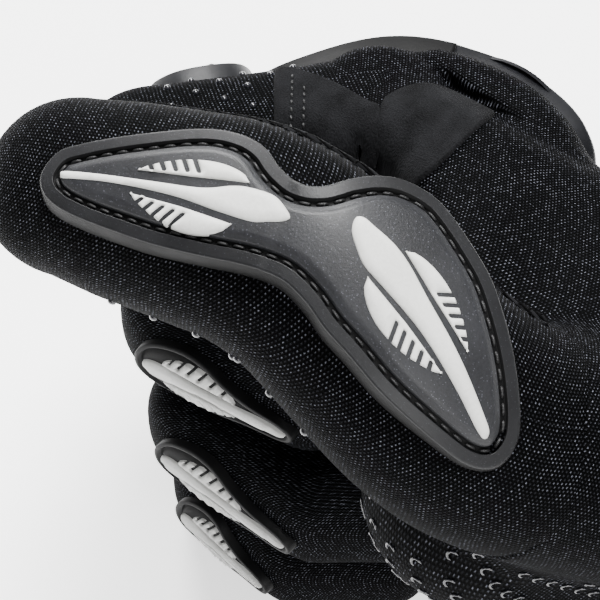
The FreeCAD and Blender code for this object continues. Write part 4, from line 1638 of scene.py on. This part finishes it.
def make_patches():
    """Suede panels on the index finger's side and between it and the thumb, with their stitches."""
    tree = surface_of([HAND, *FINGER_SKINS["index"][:2]])
    place = drop(tree, 0.15)
    front = [(98.4, 12.2), (93.3, 10.0), (88.9, 9.0), (82.3, 8.4), (79.8, 8.9), (72.6, 16.6), (75.4, 21.0),
             (79.5, 22.9), (84.2, 24.0), (86.8, 24.4), (92.0, 19.4)]
    side = [(80.2, 8.6), (81.0, 4.9), (79.0, 0.9), (75.8, -1.6), (72.1, -3.0), (68.1, -3.6), (66.4, 0.7),
            (66.2, 6.9), (66.4, 12.5), (68.4, 16.0), (72.9, 17.0)]
    made = []
    for name, points in (("suede_finger_patch", front), ("suede_web_patch", side)):
        line = resample(catmull(points, 6), 0.6)
        patch = relief(name, line, (0.15, 0.4, 0.8), patch_profile, place, SUEDE, grid=0.9, skirt=0.5)
        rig.slot(patch, "suede")
        made.append(patch)
    for (x0, y0), (x1, y1) in (((94.7, 12.6), (86.4, 21.6)), ((91.6, 13.2), (84.4, 21.0))):
        line = [place(x0 + (x1 - x0) * t, y0 + (y1 - y0) * t, 0.5) for t in np.linspace(0, 1, 14)]
        threads = stitches(line, np.tile((0.0, 0.0, 1.0), (14, 1)), 0.8, 0.5, 0.2, closed=False)
        row = build("suede_row_%d" % round(x0), *threads, THREAD)
        ride_knuckle(row, "index")
        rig.slot(row, "stretch_fabric")
    ride_knuckle(made[0], "index")
    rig.ride(made[1], "hand")
    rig.replaces(made[1], "thumb_web_panel")


def ride_knuckle(piece, finger):
    """Bends a piece with the skin across a finger's first joint."""
    centre = pivot(finger + "_mcp")
    heading = finger_line(finger)[1][1]
    across = turned(heading / 2)
    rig.blend(piece, "hand", finger + "_proximal_section", **span(centre, across, BEND_REACH, BEND_REACH))


make_patches()


# ---------------------------------------------------------------- silicone grip

def crescent(centre, normal, along, radius=0.85, wire_radius=0.22):
    """Small raised horseshoe of silicone, open towards the wrist."""
    side = unit(np.cross(normal, along))
    along = np.cross(side, normal)
    line = [centre + (along * math.cos(t) + side * math.sin(t)) * radius
            for t in np.linspace(-1.9, 1.9, 9)]
    return tube_along(line, wire_radius, 6)


def thumb_axis(s):
    """Point and direction on the thumb's centre line, s from its root."""
    if s < FIRST:
        return ROOT + A0 * s, A0
    if s < FIRST + SECOND:
        return KNUCKLE + A1 * (s - FIRST), A1
    return TJOINT + A2 * (s - FIRST - SECOND), A2


def thumb_spot(tree, s, angle):
    """Surface point and normal round the thumb: 0 is the side edge, 90 the finger-pad side."""
    centre, along = thumb_axis(s)
    n = across_normal(along)
    side = np.cross(n, along)
    out = side * math.cos(math.radians(angle)) - n * math.sin(math.radians(angle))
    return cast(tree, centre + out * 45.0, -out), along


GRIP_ROWS = 9
GRIP_PITCH = 2.7


def make_grip():
    """Rows of crescents round the ball of the thumb, and small domes along the thumb's edge."""
    tree = surface_of([HAND, *THUMB_SKINS])
    groups = {"base": [], "middle": [], "tip": []}
    for row in range(GRIP_ROWS):
        angle = 16 + row * 8.0
        s = 6.0 + (row % 2) * 1.2
        while s < min(FIRST + SECOND * 0.2, 14.0 + 9.0 * row):
            hit, along = thumb_spot(tree, s, angle)
            s += GRIP_PITCH
            if hit is None or hit[1] @ across_normal(along) > 0.5:
                continue
            key = "base" if s < FIRST - BASE_END + 2 else "middle"
            groups[key].append(crescent(hit[0] + hit[1] * 0.08, hit[1], along))
    for s in np.arange(FIRST + 14, FIRST + SECOND + 26, 6.5):
        hit, _ = thumb_spot(tree, s, 8)
        if hit is not None:
            key = "middle" if s < FIRST + SECOND * 0.5 else "tip"
            groups[key].append(bumps([hit[0]], [hit[1]], 0.6, 0.45))
    base, middle, tip = (build(name, *merge(groups[key]), SILICONE)
                         for name, key in (("grip_base", "base"), ("grip_thumb", "middle"),
                                           ("grip_thumb_tip", "tip")))
    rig.ride(base, "hand")
    bend_thumb(middle, 0)
    bend_thumb(tip, 1)
    for piece in (base, middle, tip):
        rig.slot(piece, "rubber_guard")


def make_thumb_seam():
    """Welted seam along the thumb's upper edge, with a row of stitches beside it."""
    halfway, end = FIRST + SECOND * 0.5, FIRST + SECOND + THIRD
    for joint, (name, low, high) in enumerate((("near", FIRST + 2.0, halfway), ("far", halfway, end))):
        tree = surface_of([THUMB_SKINS[joint]])
        line, row, row_up = [], [], []
        for s in np.arange(low, high + 0.1, 0.8):
            hit, _ = thumb_spot(tree, s, 188)
            if hit is not None:
                line.append(hit[0] + hit[1] * 0.1)
            hit, _ = thumb_spot(tree, s, 200)
            if hit is not None:
                row.append(hit[0])
                row_up.append(hit[1])
        welt = tube_along(line, 0.75, 8, squash=0.6)
        threads = stitches(row, row_up, 1.2, 0.7, 0.15, closed=False)
        piece = build("thumb_seam_" + name, *merge([welt, threads]), STRETCH)
        bend_thumb(piece, joint)
        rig.slot(piece, "stretch_fabric")


def make_finger_dots():
    """Rows of small silicone dots on the side of the index finger."""
    skins = FINGER_SKINS["index"]
    tree = surface_of(skins[:2])
    points, headings = finger_line("index")
    along, across = turned(headings[1]), turned(headings[1] + 90)
    length = gap(points[0], points[1])
    near, far = [], []
    mid = turned((headings[1] + headings[2]) / 2)
    for i in range(6):
        for j in range(4):
            s = 0.32 * length + i * 4.0
            b = -8.0 + j * 4.4 + (i % 2) * 2.2
            start = points[0] + along * s + across * b + np.array((0, 0, 40.0))
            hit = cast(tree, start, (0, 0, -1.0))
            if hit is not None and (hit[0] - points[1]) @ mid < -1.5:
                (near if s < 0.48 * length else far).append(hit)
    for name, hits in (("index_dots_near", near), ("index_dots_far", far)):
        piece = build(name, *bumps([h[0] for h in hits], [h[1] for h in hits], 0.55, 0.5), SILICONE)
        if name.endswith("near"):
            ride_knuckle(piece, "index")
        else:
            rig.ride(piece, "index_proximal_section")
        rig.slot(piece, "rubber_guard")


make_grip()
make_thumb_seam()
make_finger_dots()


# ---------------------------------------------------------------- cuff and strap

CUFF_LENGTH = 56.0
CUFF_WALL = 1.8


def cuff_ring(x, inset=0.0, count=120):
    """Section of the cuff at hand-frame x: a rounded oblong, drawn in by inset."""
    t = np.clip(-x / (CUFF_LENGTH + 2), 0, 1)
    y0, y1 = -15.0 - 4.0 * t + inset, 24.0 + 4.0 * t - inset
    z0, z1 = 9.0 - 4.0 * t + inset, 79.0 + 4.0 * t - inset
    ring = superellipse(count, CUFF_POWER)
    return [at_hand(x, (y0 + y1) / 2 - c * (y1 - y0) / 2, (z0 + z1) / 2 + s * (z1 - z0) / 2)
            for s, c in ring]


def make_cuff():
    """Cloth cuff with soft waves and a lining."""
    rings = []
    for x in np.arange(1.5, -CUFF_LENGTH - 0.4, -0.8):
        pinch = 0.9 * math.exp(-((x + 3.5) / 3.0) ** 2)
        ring = np.array(cuff_ring(x, pinch))
        mid = ring.mean(axis=0)
        for k in range(len(ring)):
            turn = 2 * math.pi * k / len(ring)
            wave = 0.25 * math.sin(5 * turn + 0.12 * x) * smoothstep((-x - 8) / 12)
            wave += 0.18 * math.sin(x * 0.9) * math.exp(-((x + 8) / 9) ** 2)
            ring[k] += unit(ring[k] - mid) * wave
        rings.append(ring)
    for x in np.arange(-CUFF_LENGTH, 1.0, 3.0):
        rings.append(np.array(cuff_ring(x, CUFF_WALL)))
    skin, _ = ring_tube("cuff_skin", rings, MESH, flip=True)
    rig.ride(skin, "hand")
    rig.slot(skin, "mesh_fabric")
    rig.replaces(skin, "cuff_back", "cuff_palm")


def make_cuff_binding():
    """Rolled tape over the cuff's mouth."""
    tape = []
    mouth = np.array(cuff_ring(-CUFF_LENGTH, 0.9))
    centre = mouth.mean(axis=0)
    sides = 16
    for k in range(sides):
        turn = 2 * math.pi * k / sides
        out, x = math.cos(turn) * 1.9, -math.sin(turn) * 2.6 + 1.6
        tape.append([p + unit(p - centre) * out + np.array((x, 0, 0)) for p in mouth])
    tape.append(tape[0])
    binding, _ = ring_tube("cuff_binding_tape", tape, STRETCH)
    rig.ride(binding, "hand")
    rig.slot(binding, "binding_tape")
    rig.replaces(binding, "cuff_binding")


def make_cuff_seams():
    """Welt between the hand and the cuff, and a row of stitches at each end of the cuff."""
    welt = build("wrist_welt", *tube_along(cuff_ring(-2.4, 0.3), 1.15, 10, closed=True), STRETCH)
    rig.ride(welt, "hand")
    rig.slot(welt, "stretch_fabric")
    for name, x, inset in (("cuff_tape_stitches", -CUFF_LENGTH + 4.9, -0.1), ("wrist_stitches", -4.6, 0.7)):
        ring = np.array(cuff_ring(x, inset))
        outwards = [unit(p - ring.mean(axis=0)) for p in ring]
        row = build(name, *stitches(ring, outwards, 1.6, 0.9, 0.2), THREAD)
        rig.ride(row, "hand")
        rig.slot(row, "stretch_fabric")


def rounded_box(width, height, radius, per=6):
    """Outline of a rounded rectangle about the origin."""
    pts = []
    for cx, cy, start in ((1, 1, 0), (-1, 1, 90), (-1, -1, 180), (1, -1, 270)):
        for k in range(per + 1):
            t = math.radians(start + 90 * k / per)
            pts.append((cx * (width / 2 - radius) + radius * math.cos(t),
                        cy * (height / 2 - radius) + radius * math.sin(t)))
    return resample(pts, 0.8)


def box_middle(node):
    """Middle and size of a CAD node's box, in millimetres."""
    lo, hi = (np.array(c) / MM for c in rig.box(node))
    return (lo + hi) / 2, hi - lo


def flat_place(middle, face_y):
    """Place function on a plane facing the back of the hand: (along X, along Z, outwards)."""
    def place(a, b, h):
        return np.array((middle[0] + a, face_y - h, middle[2] + b))
    return place


STRAP_RIM = 1.6


def strap_profile(d):
    """Round raised rim about a flat middle."""
    half = STRAP_RIM / 2
    return 1.0 + 0.5 * math.sqrt(max(0.0, 1 - ((d - half) / half) ** 2)) if d < STRAP_RIM else 0.85


def make_strap():
    """Moulded wrist strap with its rim, ridges and stitches."""
    middle, size = box_middle("wrist_strap")
    face = middle[1] + size[1] / 2
    place = flat_place(middle, face)
    outline = rounded_box(size[0], size[2], 3.0)
    strap = relief("wrist_strap_skin", outline, (0.1, 0.3, 0.6, 0.9, 1.2, 1.5, 1.65, 2.0), strap_profile,
                   place, [STRAP, DARK_RUBBER_AND_SHADE], grid=1.1, skirt=-0.05, bands=((STRAP_RIM, 1),))
    under = build("wrist_strap_under", [place(a, b, 0.05) for a, b in outline],
                  [tuple(range(len(outline)))], STRAP, outline, smooth=False)
    under.parent = strap
    for k in range(5):
        b = -12.0 + 5.5 * k
        line = [place(a, b + 0.06 * (a * a) / 4, 0.95) for a in np.linspace(-8.0, 8.0, 15)]
        rib = build("wrist_strap_rib_%d" % k, *tube_along(line, 1.0, 10, squash=0.6), STRAP)
        rib.parent = strap
    line = [place(a, b, 0.9) for a, b in outline * 0.86]
    threads = stitches(line, np.tile((0, -1.0, 0), (len(line), 1)), 1.6, 0.8, 0.2)
    row = build("wrist_strap_stitches", *threads, THREAD)
    row.parent = strap
    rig.ride(strap, "strap")
    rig.slot(strap, "strap_rubber")
    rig.replaces(strap, "wrist_strap")


def make_strap_fittings():
    """Pull tab, anchor, and the two halves of the hook-and-loop fastener."""
    for node, mat, body, lines in (("strap_pull_tab", STRAP, "strap", 4),
                                   ("strap_anchor", STRAP, "hand", 0),
                                   ("strap_hook_patch", PILE, "strap", 0),
                                   ("cuff_loop_patch", PILE, "hand", 0)):
        middle, size = box_middle(node)
        place = flat_place(middle, middle[1] + size[1] / 2)
        outline = rounded_box(size[0], size[2], min(2.5, size[2] / 3))

        def slab_profile(d, high=size[1]):
            return high * min(1.0, 0.55 + 0.45 * min(1.0, d / 0.6))
        piece = relief(node + "_skin", outline, (0.1, 0.3, 0.6), slab_profile, place, mat,
                       grid=1.0, skirt=0.0)
        for k in range(lines):
            b = -size[2] * 0.3 + k * size[2] * 0.2
            line = [place(a, b, size[1]) for a in np.linspace(-size[0] * 0.32, size[0] * 0.32, 9)]
            rib = build("%s_rib_%d" % (node, k), *tube_along(line, 0.7, 8), STRAP)
            rib.parent = piece
        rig.ride(piece, body)
        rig.slot(piece, "hook_and_loop" if mat is PILE else "strap_rubber")
        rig.replaces(piece, node)


def make_heel_pad():
    """Padded suede pad on the heel of the palm."""
    middle, size = box_middle("palm_heel_pad")
    tree = surface_of([HAND])

    def place(a, b, h):
        start = np.array((middle[0] + a, middle[1] + 40.0, middle[2] + b))
        hit = cast(tree, start, (0, -1.0, 0))
        if hit is None:
            return np.array((middle[0] + a, middle[1], middle[2] + b))
        return hit[0] + hit[1] * h

    def pad_profile(d):
        return 0.3 + 1.5 * math.sin(min(1.0, d / 5.0) * math.pi / 2)
    outline = rounded_box(size[0] * 0.9, size[2] * 0.9, 6.0)
    pad = relief("palm_heel_pad_skin", outline, (0.2, 0.5, 1.0, 1.7, 2.6), pad_profile, place, SUEDE,
                 grid=1.2)
    path = ccw(outline)
    path = path + inward(path) * 1.2
    seam = [place(a, b, 0.75) for a, b in path]
    threads = stitches(seam, np.tile((0, 1.0, 0), (len(seam), 1)), 1.6, 0.9, 0.2)
    row = build("palm_heel_pad_stitches", *threads, THREAD)
    row.parent = pad
    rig.ride(pad, "hand")
    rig.slot(pad, "suede")
    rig.replaces(pad, "palm_heel_pad")
    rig.padded(pad, fill=0.7)


make_cuff()
make_cuff_binding()
make_cuff_seams()
make_strap()
make_strap_fittings()
make_heel_pad()


def finish():
    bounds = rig.bounds()
    record = {"cad": [list(CAD_BOX[0]), list(CAD_BOX[1])], "visual": [list(bounds[0]), list(bounds[1])]}
    with open("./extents.json", "w") as out:
        json.dump(record, out)


finish()
